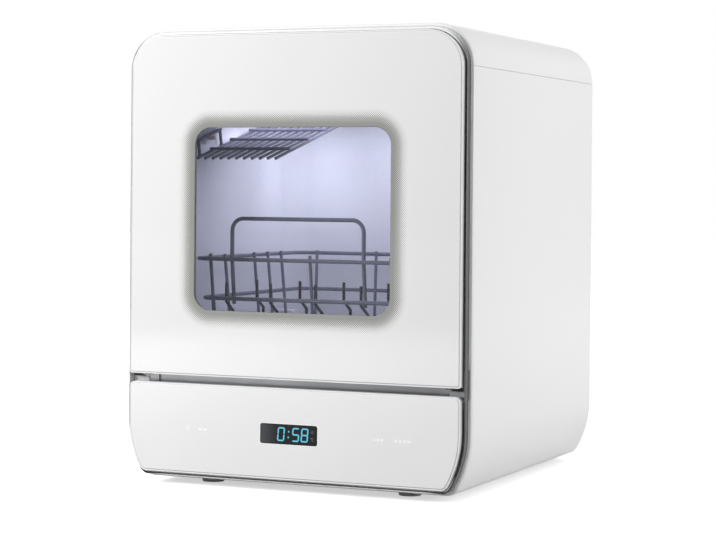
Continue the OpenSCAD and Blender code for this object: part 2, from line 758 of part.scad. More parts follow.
module spray_cap() color("gainsboro") translate([0, yd(sump_d), 0]) {
    translate([0, 0, arm_z + arm_t + 0.7]) cylinder(r1 = post_r + 4, r2 = post_r + 1, h = 3.4);
    cylinder_at(arm_z + arm_t - 6, arm_z + arm_t + 1, post_r - 2.1);
}

// Two swept blades on a hub, each blade narrowing to a rounded tip, with a row of nozzles
module arm_blade() {
    root = 15;
    tip = 9;
    polygon([[0, -root], [arm_len - tip, -tip - 4], [arm_len - tip, tip - 4], [0, root]]);
    translate([arm_len - tip, -4]) circle(tip);
}

module spray_arm() color("whitesmoke") translate([0, yd(sump_d), arm_z]) difference() {
    union() {
        linear_extrude(arm_t) {
            circle(19);
            for (a = [0, 180]) rotate(a) arm_blade();
        }
        for (a = [0, 180]) rotate(a) translate([0, -4, arm_t - eps]) linear_extrude(1) intersection() {
            translate([24, 0]) square([arm_len - 42, 30]);
            translate([24, 2]) square([arm_len - 42, 4]);
        }
    }
    translate([0, 0, -1]) cylinder(r = post_r + 0.06, h = arm_t + 3);
    for (a = [0, 180], i = [0 : 5]) rotate(a) translate([32 + i * (arm_len - 48) / 5, -4, arm_t - 3])
        cylinder(r = 1.4, h = 6, $fn = 24);
}

// Wash pump to the left of the sump, its axis along X
pump_y = yd(sump_d) + pump_off;
volute_l = 26;
spout_l = 14;
volute_x1 = -sump_r - spout_l;
volute_x0 = volute_x1 - volute_l;
volute_r = 29;
volute_t = 3;
motor_l = 48;
motor_r = 24;
fin_n = 6;
fin_t = 2.4;
motor_end = volute_x0 - motor_l;
impeller_r = 23;
shaft_r = 3;
outlet_r = 9;
outlet_x = volute_x0 + volute_l / 2;
module along_x(x, y, z) translate([x, y, z]) rotate([0, 90, 0]) children();

module wash_pump() color("darkgray") difference() {
    union() {
        along_x(volute_x0, pump_y, pump_z) cylinder(r = volute_r, h = volute_l);
        along_x(motor_end, pump_y, pump_z) cylinder(r = motor_r, h = motor_l + 1);
        for (i = [0 : fin_n - 1]) along_x(motor_end + motor_l * (i + 1) / (fin_n + 2), pump_y, pump_z)
            cylinder(r = motor_r + 1.5, h = fin_t);
        along_x(volute_x1 - 1, pump_y, pump_z) cylinder(r = port_r, h = spout_l);
        translate([outlet_x, yd(sump_d), elbow_z]) cylinder(r = outlet_r, h = pump_z - elbow_z);
    }
    along_x(volute_x0 + volute_t, pump_y, pump_z) cylinder(r = impeller_r + 2, h = volute_l - 2 * volute_t);
    along_x(volute_x1 - volute_t - 7, pump_y, pump_z) cylinder(r = port_r - 2, h = volute_l + spout_l);
    along_x(volute_x0 - 20, pump_y, pump_z) cylinder(r = shaft_r + pin_play, h = 30);
    translate([outlet_x, yd(sump_d), elbow_z - 1]) cylinder(r = outlet_r - 2, h = pump_z - elbow_z - 2);
}

module pump_impeller() color("gray") {
    along_x(volute_x0 + volute_t + 1.5, pump_y, pump_z) {
        cylinder(r = impeller_r, h = 2.4);
        cylinder(r = 2 * shaft_r, h = 12);
        for (i = [0 : 6]) rotate([0, 0, i * 360 / 7]) translate([shaft_r + 1, -1, 1]) rotate([0, 0, 18])
            cube([impeller_r - 6, 2, 10]);
    }
    along_x(volute_x0 - 18, pump_y, pump_z) cylinder(r = shaft_r, h = 26);
}

// Pipe bend in the X-Z plane from pointing down to pointing along +X
elbow_r = 16;
heater_z = base_z + base_t + 15;
elbow_z = heater_z + elbow_r;
module pump_elbow() translate([outlet_x + elbow_r, yd(sump_d), heater_z + elbow_r])
    rotate([90, 0, 0]) rotate([0, 0, 180]) rotate_extrude(angle = 90) translate([elbow_r, 0])
        difference() {
            circle(outlet_r);
            circle(outlet_r - 2);
        }

heater_x0 = outlet_x + elbow_r;
module flow_heater() color("silver") {
    difference() {
        along_x(heater_x0 + 12, yd(sump_d), heater_z) cylinder(r = 14, h = -heater_x0 + 8);
        along_x(heater_x0 + 10, yd(sump_d), heater_z) cylinder(r = 7, h = 8);
    }
    difference() {
        along_x(heater_x0 + seat, yd(sump_d), heater_z) cylinder(r = 9, h = 12);
        along_x(heater_x0 - 1, yd(sump_d), heater_z) cylinder(r = 7, h = 20);
    }
    translate([0, yd(sump_d), heater_z]) cylinder(r = 8, h = sump_z - 1.2 - heater_z);
    for (y = [-8, 8]) translate([24, yd(sump_d) + y - 3, heater_z - 0.4]) cube([12, 6, 0.8]);
    along_x(19, yd(sump_d), heater_z) cylinder(r = 12, h = 6);
}

// Drain pump to the right of the sump
drain_x0 = sump_r + 12;
module drain_pump() color("darkgray") difference() {
    union() {
        along_x(drain_x0, yd(sump_d), drain_z) cylinder(r = 19, h = 24);
        along_x(drain_x0 + 23, yd(sump_d), drain_z) cylinder(r = 15, h = 26);
        along_x(sump_r - 0.6, yd(sump_d), drain_z) cylinder(r = drain_r + 1, h = 14);
        translate([drain_x, yd(sump_d), drain_z]) rotate([-90, 0, 0]) cylinder(r = drain_r, h = 36);
    }
    along_x(sump_r - 2, yd(sump_d), drain_z) cylinder(r = drain_r - 1, h = 16);
    translate([drain_x, yd(sump_d) + 12, drain_z]) rotate([-90, 0, 0]) cylinder(r = drain_r - 2, h = 36);
}

module drain_hose() color("black") translate([drain_x, yd(sump_d) + 24, drain_z]) rotate([-90, 0, 0])
    difference() {
        hose_l = niche_d - 1.2 - sump_d - 24;
        union() {
            cylinder(r = drain_r + 2, h = hose_l);
            for (i = [1 : 8]) translate([0, 0, i * hose_l / 10]) cylinder(r = drain_r + 3, h = 3);
        }
        translate([0, 0, -1]) cylinder(r = drain_r + 0.1, h = hose_l + 2);
    }

module drain_fitting() color("gainsboro") translate([drain_x, 0, port_z]) rotate([-90, 0, 0])
    difference() {
        union() {
            cylinder_at(yd(niche_d) - 14, yd(niche_d), drain_r);
            cylinder_at(yd(niche_d) - 1, collar_y + collar_t + port_free, spout_r);
            cylinder_at(collar_y, collar_y + collar_t, spout_r + 4);
            translate([0, 0, collar_y + collar_t + port_free - eps])
                cylinder(r1 = spout_r, r2 = spout_r - 1.4, h = 2.4);
        }
        cylinder_at(yd(niche_d) - 20, yd(niche_d) + 40, drain_r - 2);
    }

// Water tank behind the wash chamber
tank_half = 158;
tank_z0 = floor_z + 2;
tank_z1 = roof_z + 18;
tank_t = 2.4;
tank_port_x = 0;
tank_port_d = niche_d - 10;
module tank_shape(grow) rounded(-tank_half - grow, tank_z0 - grow, tank_half + grow, tank_z1 + grow, 12 + grow);
module water_tank() color("lightsteelblue") difference() {
    union() {
        slab(tank_d0, tank_d1) tank_shape(0);
        translate([0, yd(fill_d), tank_z1 - 1]) cylinder(r = fill_r + 2.4, h = 16);
        translate([tank_port_x, yd(tank_port_d), tank_z0 - 10]) cylinder(r = 8, h = 12);
        translate([inlet_x, yd(tank_port_d), tank_z0 - 7]) cylinder(r = 9, h = 9);
    }
    slab(tank_d0 + tank_t, tank_d1 - tank_t) tank_shape(-tank_t);
    translate([0, yd(fill_d), tank_z1 - 10]) cylinder(r = fill_r + 0.1, h = 40);
    translate([tank_port_x, yd(tank_port_d), tank_z0 - 11]) cylinder(r = 6, h = 20);
    translate([inlet_x, yd(tank_port_d), tank_z0 - 8]) cylinder(r = 6.1, h = 20);
}

feed_r = 16;
feed_top = tank_z0 - 10 - seat;
module tank_elbow()
    translate([tank_port_x, yd(tank_port_d) - feed_r, feed_top]) rotate([0, 90, 0])
        rotate_extrude(angle = 90) translate([feed_r, 0]) difference() {
            circle(8);
            circle(6);
        }

valve_z = feed_top - feed_r;
valve_y = yd(tank_port_d) - feed_r - seat;
module feed_valve() color("royalblue") difference() {
    union() {
        translate([tank_port_x, valve_y, valve_z]) rotate([90, 0, 0]) cylinder(r = 8, h = 30);
        translate([tank_port_x - 13, valve_y - 26, valve_z - 12]) cube([26, 20, 24]);
        translate([tank_port_x, valve_y - 16, valve_z - 30]) cylinder(r = 9, h = 20);
    }
    translate([tank_port_x, valve_y + 1, valve_z]) rotate([90, 0, 0]) cylinder(r = 5, h = 40);
}

module hose_elbows() color("black") {
    pump_elbow();
    tank_elbow();
}

// Ribbed feed hose from the valve forward to the sump port
feed_y0 = valve_y - 30 - seat;
feed_y1 = yd(sump_d) + sump_r + 10 + seat;
feed_z = valve_z;
module feed_hose() color("black") translate([tank_port_x, feed_y1, feed_z]) rotate([-90, 0, 0])
    difference() {
        hose_l = feed_y0 - feed_y1;
        union() {
            cylinder(r = 8, h = hose_l);
            for (i = [1 : 5]) translate([0, 0, i * hose_l / 6 - 1.2]) cylinder(r = 8.8, h = 2.4);
        }
        translate([0, 0, -1]) cylinder(r = 6, h = hose_l + 2);
    }

module inlet_valve() color("gainsboro") difference() {
    union() {
        translate([inlet_x, 0, port_z]) rotate([-90, 0, 0]) {
            cylinder_at(yd(niche_d) - 3, collar_y + collar_t + port_free, inlet_r);
            cylinder_at(collar_y, collar_y + collar_t, inlet_r + 2.6);
        }
        translate([inlet_x - 18, yd(niche_d) - 30, port_z - 18]) cube([36, 29.6, 32]);
        translate([inlet_x, yd(tank_port_d), port_z]) cylinder(r = 6, h = tank_z0 - 1 - port_z);
        translate([inlet_x - 12, yd(niche_d) - 26, port_z - 34]) cube([24, 20, 18]);
    }
    translate([inlet_x, yd(niche_d) - 10, port_z]) rotate([-90, 0, 0]) cylinder(r = 8, h = 40);
    translate([inlet_x, yd(tank_port_d), port_z]) cylinder(r = 3.5, h = 60);
}

module fill_funnel() color("whitesmoke") translate([0, yd(fill_d), 0]) rotate_extrude(angle = 360)
    polygon([[fill_r - 2, tank_z1 + 2], [fill_r, tank_z1 + 2], [fill_r, pocket_z - 3 - pocket_wall],
             [fill_r + 3, pocket_z - 1], [fill_r + 3, pocket_z + 0.2], [fill_r + 1, pocket_z + 0.2],
             [fill_r - 2, pocket_z - 4 - pocket_wall]]);

// Fill lid, hinged along its back edge
barrel_r = lid_t / 2;
module fill_lid() color("white") difference() {
    union() {
        translate([-lid_w / 2 + 1, yd(pocket_d0) + 0.8, lid_axis_z - barrel_r])
            cube([lid_w - 2, lid_axis_d - pocket_d0 - 0.8, lid_t]);
        along_x(-lid_w / 2 + 1, yd(lid_axis_d), lid_axis_z) cylinder(r = barrel_r, h = lid_w - 2);
    }
    along_x(-lid_w, yd(lid_axis_d), lid_axis_z) cylinder(r = lid_pin_r + pin_play, h = 2 * lid_w);
    translate([0, yd(pocket_d0), lid_axis_z + barrel_r + 5]) rotate([0, 90, 0])
        translate([0, 0, -14]) cylinder(r = 7, h = 28);
    translate([-lid_w / 2 + 4, yd(pocket_d0) + 4, lid_axis_z - barrel_r - 1])
        cube([lid_w - 8, lid_l - 16, lid_t - 1]);
}

module fill_lid_pin() color("silver")
    along_x(-pocket_half - pocket_wall + 0.4, yd(lid_axis_d), lid_axis_z)
        cylinder(r = lid_pin_r, h = 2 * (pocket_half + pocket_wall) - 0.8);

module power_gland() color("dimgray") translate([gland[0], yd(niche_d), gland[1]]) rotate([-90, 0, 0])
    difference() {
        union() {
            translate([0, 0, -5]) cylinder(r = gland_r, h = 13);
            translate([0, 0, rear_t + 0.1]) cylinder(r = gland_r + 0.9, h = 3);
            translate([0, 0, -5]) cylinder(r = gland_r + 2, h = 4.8);
            translate([0, 0, 7]) cylinder(r1 = gland_r - 1, r2 = 6, h = 10);
        }
        translate([0, 0, -6]) cylinder(r = 4.2, h = 40);
    }

// Drying fan above the wash chamber, blowing out at the back
fan_r = 38;
fan_z0 = roof_z + 24;
fan_h = 24;
wheel_r = 31;
fan_t = 2;
blower_x0 = 20;
module fan_housing() color("gainsboro") difference() {
    union() {
        translate([fan_x, yd(fan_d), fan_z0]) cylinder(r = fan_r, h = fan_h, $fn = 96);
        translate([fan_x - blower_x0, yd(fan_d), fan_z0])
            cube([fan_r + blower_x0, rear_d - run - fan_d, fan_h]);
        translate([fan_x, yd(fan_d), roof_z + tub_t + seat]) cylinder(r = duct_r, h = 24);
        translate([fan_x, yd(fan_d), roof_z + tub_t + seat]) cylinder(r = duct_r + 6, h = 3);
    }
    translate([fan_x, yd(fan_d), fan_z0 + fan_t]) cylinder(r = fan_r - fan_t, h = fan_h - 2 * fan_t, $fn = 96);
    translate([fan_x - blower_x0 + fan_t, yd(fan_d), fan_z0 + fan_t])
        cube([fan_r + blower_x0 - 2 * fan_t, rear_d - fan_d + 5, fan_h - 2 * fan_t]);
    translate([fan_x, yd(fan_d), roof_z - 5]) cylinder(r = duct_r - 2, h = 60);
    translate([fan_x, yd(fan_d), fan_z0 + fan_h - 5]) cylinder(r = 3.5, h = 12);
}

module fan_wheel() color("dimgray") translate([fan_x, yd(fan_d), 0]) {
    translate([0, 0, fan_z0 + fan_h - 5]) cylinder(r = wheel_r, h = 1.6);
    translate([0, 0, fan_z0 + fan_h - 12]) cylinder(r = 7, h = 8);
    for (i = [0 : 23]) rotate([0, 0, 15 * i]) translate([wheel_r - 7, -0.6, fan_z0 + 4])
        rotate([0, 0, 30]) cube([7, 1.2, fan_h - 8]);
    difference() {
        translate([0, 0, fan_z0 + 3.4]) cylinder(r = wheel_r, h = 1.4);
        translate([0, 0, fan_z0 + 3]) cylinder(r = wheel_r - 7.5, h = 3);
    }
    translate([0, 0, fan_z0 + fan_h - 5]) cylinder(r = 2, h = 14);
}

module fan_motor() color("darkgray") translate([fan_x, yd(fan_d), fan_z0 + fan_h + 0.2]) difference() {
    union() {
        cylinder(r = 17, h = 2);
        cylinder(r = 14, h = 18);
    }
    translate([0, 0, -1]) cylinder(r = 2.06, h = 14);
}

module lamp_lens() color("aliceblue") translate([-lamp_half + 0.3, yd(lamp_d) + 0.3, 0]) {
    translate([0, 0, roof_z - 0.5]) cube([2 * lamp_half - 0.6, lamp_l - 0.6, tub_t + 1.4]);
    translate([-4, -4, roof_z + tub_t + 0.2]) cube([2 * lamp_half + 7.4, lamp_l + 7.4, 5]);
}

module level_float() color("whitesmoke") translate([float_x, yd(float_d), floor_z + run]) difference() {
    union() {
        cylinder(r1 = 11, r2 = 11, h = 7);
        translate([0, 0, 7 - eps]) cylinder(r1 = 11, r2 = 7, h = 3);
    }
    translate([0, 0, -1]) cylinder(r = float_pin_r + 0.06, h = 20);
}

// Guide rails on the side walls
rail_z = floor_z + basket_low + 4;
rail_w = 14;
rail_t = 4;
rail_d0 = plug_d + 9;
rail_l = tub_end - plug_d - 34;
rib_t = 3;
rib_h = 8;
rib_n = 4;
module basket_rails() color("white") both_sides() {
    translate([tub_half - rail_w, yd(rail_d0), rail_z - rail_t]) cube([rail_w - 0.1, rail_l, rail_t]);
    for (i = [0 : rib_n - 1])
        translate([tub_half - rail_w + 4, yd(rail_d0 + rail_l * (i + 0.5) / rib_n), rail_z - rail_t - rib_h])
            cube([rail_w - 7.5, rib_t, rib_h + 0.5]);
    translate([tub_half - rib_t - 0.1, yd(rail_d0), rail_z - 0.5]) cube([rib_t, rail_l, rail_t + 1]);
}

// Upper shelf of bent wire, hung on pegs on the left wall
shelf_x0 = -tub_half + 8;
shelf_z0 = roof_z - shelf_down;
function shelf_pt(x, l, up) = [x, yd(shelf_front) + l * cos(shelf_tilt) - up * sin(shelf_tilt),
                               shelf_z0 + l * sin(shelf_tilt) + up * cos(shelf_tilt)];
peg_r = 2.2;
peg_collar_r = peg_r + 1.2;
peg_gap = 0.15;
shelf_wire_r = 1.6;
cross_ls = [31, 76, 121, shelf_len - 4];
hook_ls = [12, 60];
hook_seat_ls = [20, 40];
hook_up = (shelf_down - tub_r - peg_collar_r - 0.3 - hook_seat_ls[1] * sin(shelf_tilt)) / cos(shelf_tilt)
          + shelf_wire_r + peg_r + peg_gap;
hook_h = hook_up + 1;
hook_x = -3.6;
module upper_shelf() color("dimgray") translate([shelf_x0, yd(shelf_front), shelf_z0]) {
    n = round(shelf_w / shelf_pitch);
    rotate([shelf_tilt, 0, 0]) {
        for (i = [0 : n]) translate([i * shelf_w / n, 0, 0]) rotate([-90, 0, 0])
            cylinder(r = shelf_wire_r, h = shelf_len);
        for (l = cross_ls) translate([-1.2, l, 2 * shelf_wire_r - weld]) rotate([0, 90, 0])
            cylinder(r = shelf_wire_r, h = shelf_w + 2.4);
        for (l = hook_ls) {
            translate([hook_x - shelf_wire_r, l, 0]) rotate([0, 90, 0]) cylinder(r = shelf_wire_r, h = 4);
            translate([hook_x, l, 0]) cylinder(r = shelf_wire_r, h = hook_h);
        }
        translate([hook_x, hook_ls[0] - 2, hook_up]) rotate([-90, 0, 0])
            cylinder(r = shelf_wire_r, h = hook_ls[1] - hook_ls[0] + 4);
    }
}

// Pegs in the left wall: two under the bar of the hook, two under the outermost wire of the shelf
peg_seats = [[hook_seat_ls[0], hook_up], [hook_seat_ls[1], hook_up], [40, 0], [100, 0]];
module shelf_pegs() color("white") for (s = peg_seats) {
    p = shelf_pt(-tub_half + 0.1, s[0], s[1] - shelf_wire_r - peg_r - peg_gap);
    translate(p) rotate([0, 90, 0]) cylinder(r = peg_r, h = 9.5);
    translate(p) rotate([0, 90, 0]) cylinder(r = peg_collar_r, h = 1.2);
}

// Door, from the outer glass to the inner liner
plug_front = edge_d + 2;
plug_half = opening_half - 2;
plug_low = opening_low + 2;
plug_high = opening_high - 2.5;
inner_half = window_w / 2 + 18.5;
inner_low = window_z - 9.5;
inner_high = window_z + window_h + 8;

module door_glass() color([0.93, 0.94, 0.95]) slab(0, glass_t) door_shape(rim_t);

module door_frame() color("white") difference() {
    union() {
        slab(0.5, edge_d) difference() {
            door_shape(0);
            door_shape(rim_t - 0.15);
        }
        slab(glass_t + seat, edge_d) door_shape(0.5);
        both_sides() slab(edge_d - 1, edge_d + 4.7)
            rounded(door_half - 1.6, door_z, door_half, door_z + 78, 0.7);
    }
    slab(glass_t, edge_d + 1)
        pane(window_w / 2 + 8, window_z - 8, window_z + window_h + 8, window_r + 6);
    both_sides() hinge_axis(ear_x0 - 0.6) cylinder(r = pocket_r, h = knuckle_x1 - ear_x0 + 1);
}

module door_liner() color("white") difference() {
    union() {
        slab(edge_d + seat, plug_front) pane(opening_half + seal_w + 2, hinge_z + 5.9,
                                             opening_high + seal_w + 4, opening_r + 8);
        slab(plug_front - 0.5, plug_d) pane(plug_half, plug_low, plug_high, opening_r - 2);
    }
    slab(edge_d, plug_d - 3)
        pane(plug_half - 2, plug_low + 2, plug_high - 2, opening_r - 4);
    slab(plug_d - 5, plug_d + 1) pane(inner_half, inner_low, inner_high, window_r + 1);
    slab(plug_d - 5, plug_d + 1) square_at(box_x0, box_z0, box_x1, box_z1);
}

module inner_pane() color([0.8, 0.86, 0.9, 0.4]) slab(plug_d - 3 - seat - pane_t, plug_d - 3 - seat)
    pane(inner_half + 4, inner_low - 4, min(inner_high + 4, plug_high - 2.3), window_r + 4);

module pane_gasket() color("dimgray") {
    slab(plug_d - 3 - 2 * seat - pane_t - 1.4, plug_d - 3 - 2 * seat - pane_t) difference() {
        pane(inner_half + 4, inner_low - 4, min(inner_high + 4, plug_high - 2.3), window_r + 4);
        pane(inner_half - 1, inner_low + 1, inner_high - 1, window_r);
    }
}

// Detergent box set in the liner below the window, with a sliding lid
box_half = 28;
box_x0 = -box_half;
box_x1 = box_half;
box_z0 = plug_low + 4;
box_z1 = inner_low - 6;
lid_run = 54;
track_d = plug_d + 1;
track_h = 3.4;
track_in = 2.8;
track_x0 = box_x0 - 8;
track_x1 = box_x1 + lid_run + 6;
module dispenser_box() color("whitesmoke") difference() {
    union() {
        slab(plug_d + 0.1, track_d) square_at(track_x0, box_z0 - 3, track_x1, box_z1 + 3);
        slab(plug_d - 12, track_d - 0.2) square_at(box_x0 + 0.2, box_z0 + 0.2, box_x1 - 0.2, box_z1 - 0.2);
        for (z = [box_z0 - 3, box_z1 + 1.4]) slab(track_d - 0.2, track_d + track_h)
            square_at(track_x0, z, track_x1, z + 1.6);
        for (z = [box_z0 - 3, box_z1 + 3 - track_in]) slab(track_d + track_h - 0.8, track_d + track_h)
            square_at(track_x0, z, track_x1, z + track_in);
    }
    slab(plug_d - 10.5, track_d + 1) square_at(box_x0 + 1.8, box_z0 + 1.8, box_x1 - 1.8, box_z1 - 1.8);
}

module dispenser_lid() color("lightgray") {
    slab(track_d + run, track_d + 2.3) square_at(box_x0 - 3, box_z0 - 1.1, box_x1 + 3, box_z1 + 1.1);
    for (i = [0 : 2]) slab(track_d + 2.2, track_d + 3.2)
        square_at(-8 + 6 * i, box_z0 + 3, -5 + 6 * i, box_z1 - 3);
}

// Basket: three rails round the walls, uprights, a floor grid and a handle loop
rim_x = tub_half - basket_gap;
foot_inset = 8;
back_d = tub_end - 15;
bend_r = 14;
low_z = floor_z + basket_low;
mid_z = floor_z + basket_mid;
top_z = floor_z + basket_top;
weld = 0.6;
function tidy(v) = round(v * 10) / 10;
function lean(z) = tidy(basket_lean * (top_z - z) / (top_z - low_z));
function side_x(z) = rim_x - tidy(foot_inset * (top_z - z) / (top_z - low_z));
function front_y(z) = yd(basket_front + lean(z));
function back_y(z) = yd(back_d - tidy(0.4 * lean(z)));
front_xs = [-rim_x + 17, -9, 76, rim_x - 16];
back_xs = [-rim_x + 24, -40, 40, rim_x - 24];
side_ds = [for (d = [28, 60, 126, 158, 190]) basket_front + d];
cross_ds = [for (d = [52, 108, 150, 188]) basket_front + d];
floor_pitch = 24;

// Round wire bent into a level rectangle with round corners
module wire_ring(x, y0, y1, z, r) translate([0, 0, z]) both_sides() {
    translate([x, y0 + bend_r, 0]) rotate([-90, 0, 0]) cylinder(r = r, h = y1 - y0 - 2 * bend_r);
    translate([0, y0, 0]) rotate([0, 90, 0]) cylinder(r = r, h = x - bend_r);
    translate([0, y1, 0]) rotate([0, 90, 0]) cylinder(r = r, h = x - bend_r);
    translate([x - bend_r, y1 - bend_r, 0]) rotate_extrude(angle = 90) translate([bend_r, 0]) circle(r);
    translate([x - bend_r, y0 + bend_r, 0]) rotate([0, 0, -90])
        rotate_extrude(angle = 90) translate([bend_r, 0]) circle(r);
}

module rail(z, r) wire_ring(side_x(z), front_y(z), back_y(z), z, r);

module basket_floor() {
    n = floor((side_x(low_z) - 20) / floor_pitch);
    for (i = [-n : n])
        translate([i * floor_pitch, front_y(low_z), low_z - 2 * thin_r + weld]) rotate([-90, 0, 0])
            cylinder(r = thin_r, h = back_y(low_z) - front_y(low_z));
    for (d = cross_ds) translate([-side_x(low_z), yd(d), low_z]) rotate([0, 90, 0])
        cylinder(r = thin_r, h = 2 * side_x(low_z));
}

module basket_walls() {
    in = wire_r + thin_r - weld;
    for (x = front_xs) rod([x, front_y(low_z) + in - 0.6, low_z - 1.5],
                           [x, front_y(top_z) + in, top_z + 5], thin_r);
    for (x = back_xs) rod([x, back_y(low_z) - in + 0.6, low_z - 1.5],
                          [x, back_y(top_z) - in, top_z + 3], thin_r);
    both_sides() for (d = side_ds)
        rod([side_x(low_z) - in + 0.6, yd(d), low_z - 1.5], [side_x(top_z) - in, yd(d), top_z + 3], thin_r);
}

module basket() color("slategray") {
    rail(top_z, wire_r);
    rail(mid_z, wire_r);
    rail(low_z, thin_r);
    basket_walls();
    basket_floor();
    handle_loop();
}

loop_r = 12;
leg_r = wire_r - 0.1;
module handle_loop() {
    y = front_y(top_z) + 2 * wire_r - weld;
    z = top_z + loop_h;
    foot_z = mid_z - 5;
    for (s = [-1, 1]) translate([-loop_off + s * loop_w / 2, 0, 0]) {
        rod([0, front_y(mid_z) + 2 * wire_r - weld, foot_z], [0, y, top_z], leg_r);
        translate([0, y, top_z - 1]) cylinder(r = wire_r, h = z - loop_r - top_z + 1);
    }
    translate([-loop_off, y, z - loop_r]) rotate([90, 0, 0]) both_sides() {
        translate([loop_w / 2 - loop_r, 0, 0]) rotate_extrude(angle = 90) translate([loop_r, 0]) circle(wire_r);
        translate([0, loop_r, 0]) rotate([0, 90, 0]) cylinder(r = wire_r, h = loop_w / 2 - loop_r);
    }
}

// Glide shoes clipped on the lowest side wires, each with a wing that rides on the guide rail
shoe_ds = [basket_front + 92, basket_front + 206];
shoe_l = 18;
module basket_shoes() color("white") both_sides() for (d = shoe_ds)
    translate([0, yd(d + shoe_l / 2), 0]) rotate([90, 0, 0]) linear_extrude(shoe_l) difference() {
        union() {
            square_at(side_x(low_z) - 4.5, low_z - 4.5, tub_half - rail_w - 1, rail_z + 6);
            square_at(side_x(low_z), rail_z + run, tub_half - 4.5, rail_z + 6);
        }
        translate([side_x(low_z), low_z]) circle(thin_r + 0.05);
    }

// Bent tines that hold plates and bowls, welded to two cross wires on the basket floor
tine_ds = [basket_front + 30, basket_front + 98];
tine_n = 4;
tine_x0 = -rim_x + 20;
tine_jog = 7.5;
module plate_tines() color([0.2, 0.21, 0.24]) for (d = tine_ds) {
    z0 = low_z + weld + 0.1;
    x1 = tine_x0 + tine_pitch * (tine_n - 1);
    rod([tine_x0 - 5, yd(d), z0], [x1 + 2 * tine_jog + 5, yd(d), z0], thin_r);
    for (i = [0 : tine_n - 1]) let (x = tine_x0 + tine_pitch * i, y = yd(d) + 1.4)
        wire([[x + tine_jog, y, z0], [x + tine_jog, y, z0 + 18], [x, y, z0 + 27], [x, y, floor_z + tine_top]],
             thin_r - 0.1);
}

left_side_panel();
right_side_panel();
top_cover();
rear_panel();
rear_screws();
base_pan();
feet();
front_frame();
tub();
door_seal();
control_panel();
panel_housing();
display_lens();
display_module();
control_board();
touch_springs();
hinge_brackets();
hinge_pins();
door_lock();
sump();
filter_plate();
filter_cup();
spray_post();
spray_cap();
spray_arm();
wash_pump();
pump_impeller();
hose_elbows();
flow_heater();
drain_pump();
drain_hose();
drain_fitting();
water_tank();
feed_valve();
feed_hose();
inlet_valve();
fill_funnel();
fill_lid();
fill_lid_pin();
power_gland();
fan_housing();
fan_wheel();
fan_motor();
lamp_lens();
level_float();
basket_rails();
shelf_pegs();
upper_shelf();
door_glass();
door_frame();
door_liner();
inner_pane();
pane_gasket();
hinge_arms();
door_strike();
dispenser_box();
dispenser_lid();
basket();
basket_shoes();
plate_tines();
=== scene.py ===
import bmesh
import bpy
import numpy as np
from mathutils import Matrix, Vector


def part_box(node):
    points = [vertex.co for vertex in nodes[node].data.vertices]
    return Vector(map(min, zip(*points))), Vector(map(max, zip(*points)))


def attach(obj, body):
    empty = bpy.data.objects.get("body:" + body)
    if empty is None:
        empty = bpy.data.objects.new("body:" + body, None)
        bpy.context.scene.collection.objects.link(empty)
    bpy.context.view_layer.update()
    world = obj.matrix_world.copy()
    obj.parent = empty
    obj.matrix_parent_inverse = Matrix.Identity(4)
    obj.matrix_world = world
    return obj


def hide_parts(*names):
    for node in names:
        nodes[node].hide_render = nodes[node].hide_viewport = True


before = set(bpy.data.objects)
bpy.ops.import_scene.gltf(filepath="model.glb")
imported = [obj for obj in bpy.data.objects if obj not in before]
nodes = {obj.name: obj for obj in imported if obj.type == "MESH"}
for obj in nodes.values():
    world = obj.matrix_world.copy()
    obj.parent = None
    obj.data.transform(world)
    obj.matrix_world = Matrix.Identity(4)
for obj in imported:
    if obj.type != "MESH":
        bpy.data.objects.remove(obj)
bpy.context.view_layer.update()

# Casing: two side panels with drawn-in flanks and a top cover that carries the round corners,
# with the water lid let into it. Moulded in white ABS with a fine satin grain and hooked on at
# the seam, then screwed to the rear panel.


def linear(hexcode):
    """sRGB hex to linear RGBA: c/12.92 below 0.04045, else ((c + 0.055)/1.055)^2.4."""
    c = np.array([int(hexcode[i : i + 2], 16) for i in (1, 3, 5)]) / 255
    c = np.where(c <= 0.04045, c / 12.92, ((c + 0.055) / 1.055) ** 2.4)
    return (*c.tolist(), 1.0)


def put(tree, kind, inputs=None, **settings):
    """Adds a node: settings are its properties, inputs its sockets, each with a value or with an
    output to link to it."""
    node = tree.nodes.new(kind)
    for key, value in settings.items():
        setattr(node, key, value)
    for key, value in (inputs or {}).items():
        if isinstance(value, bpy.types.NodeSocket):
            tree.links.new(value, node.inputs[key])
        else:
            node.inputs[key].default_value = value
    return node


def blank(name):
    """An empty material and its tree."""
    material = bpy.data.materials.new(name)
    material.use_nodes = True
    material.node_tree.nodes.clear()
    return material, material.node_tree


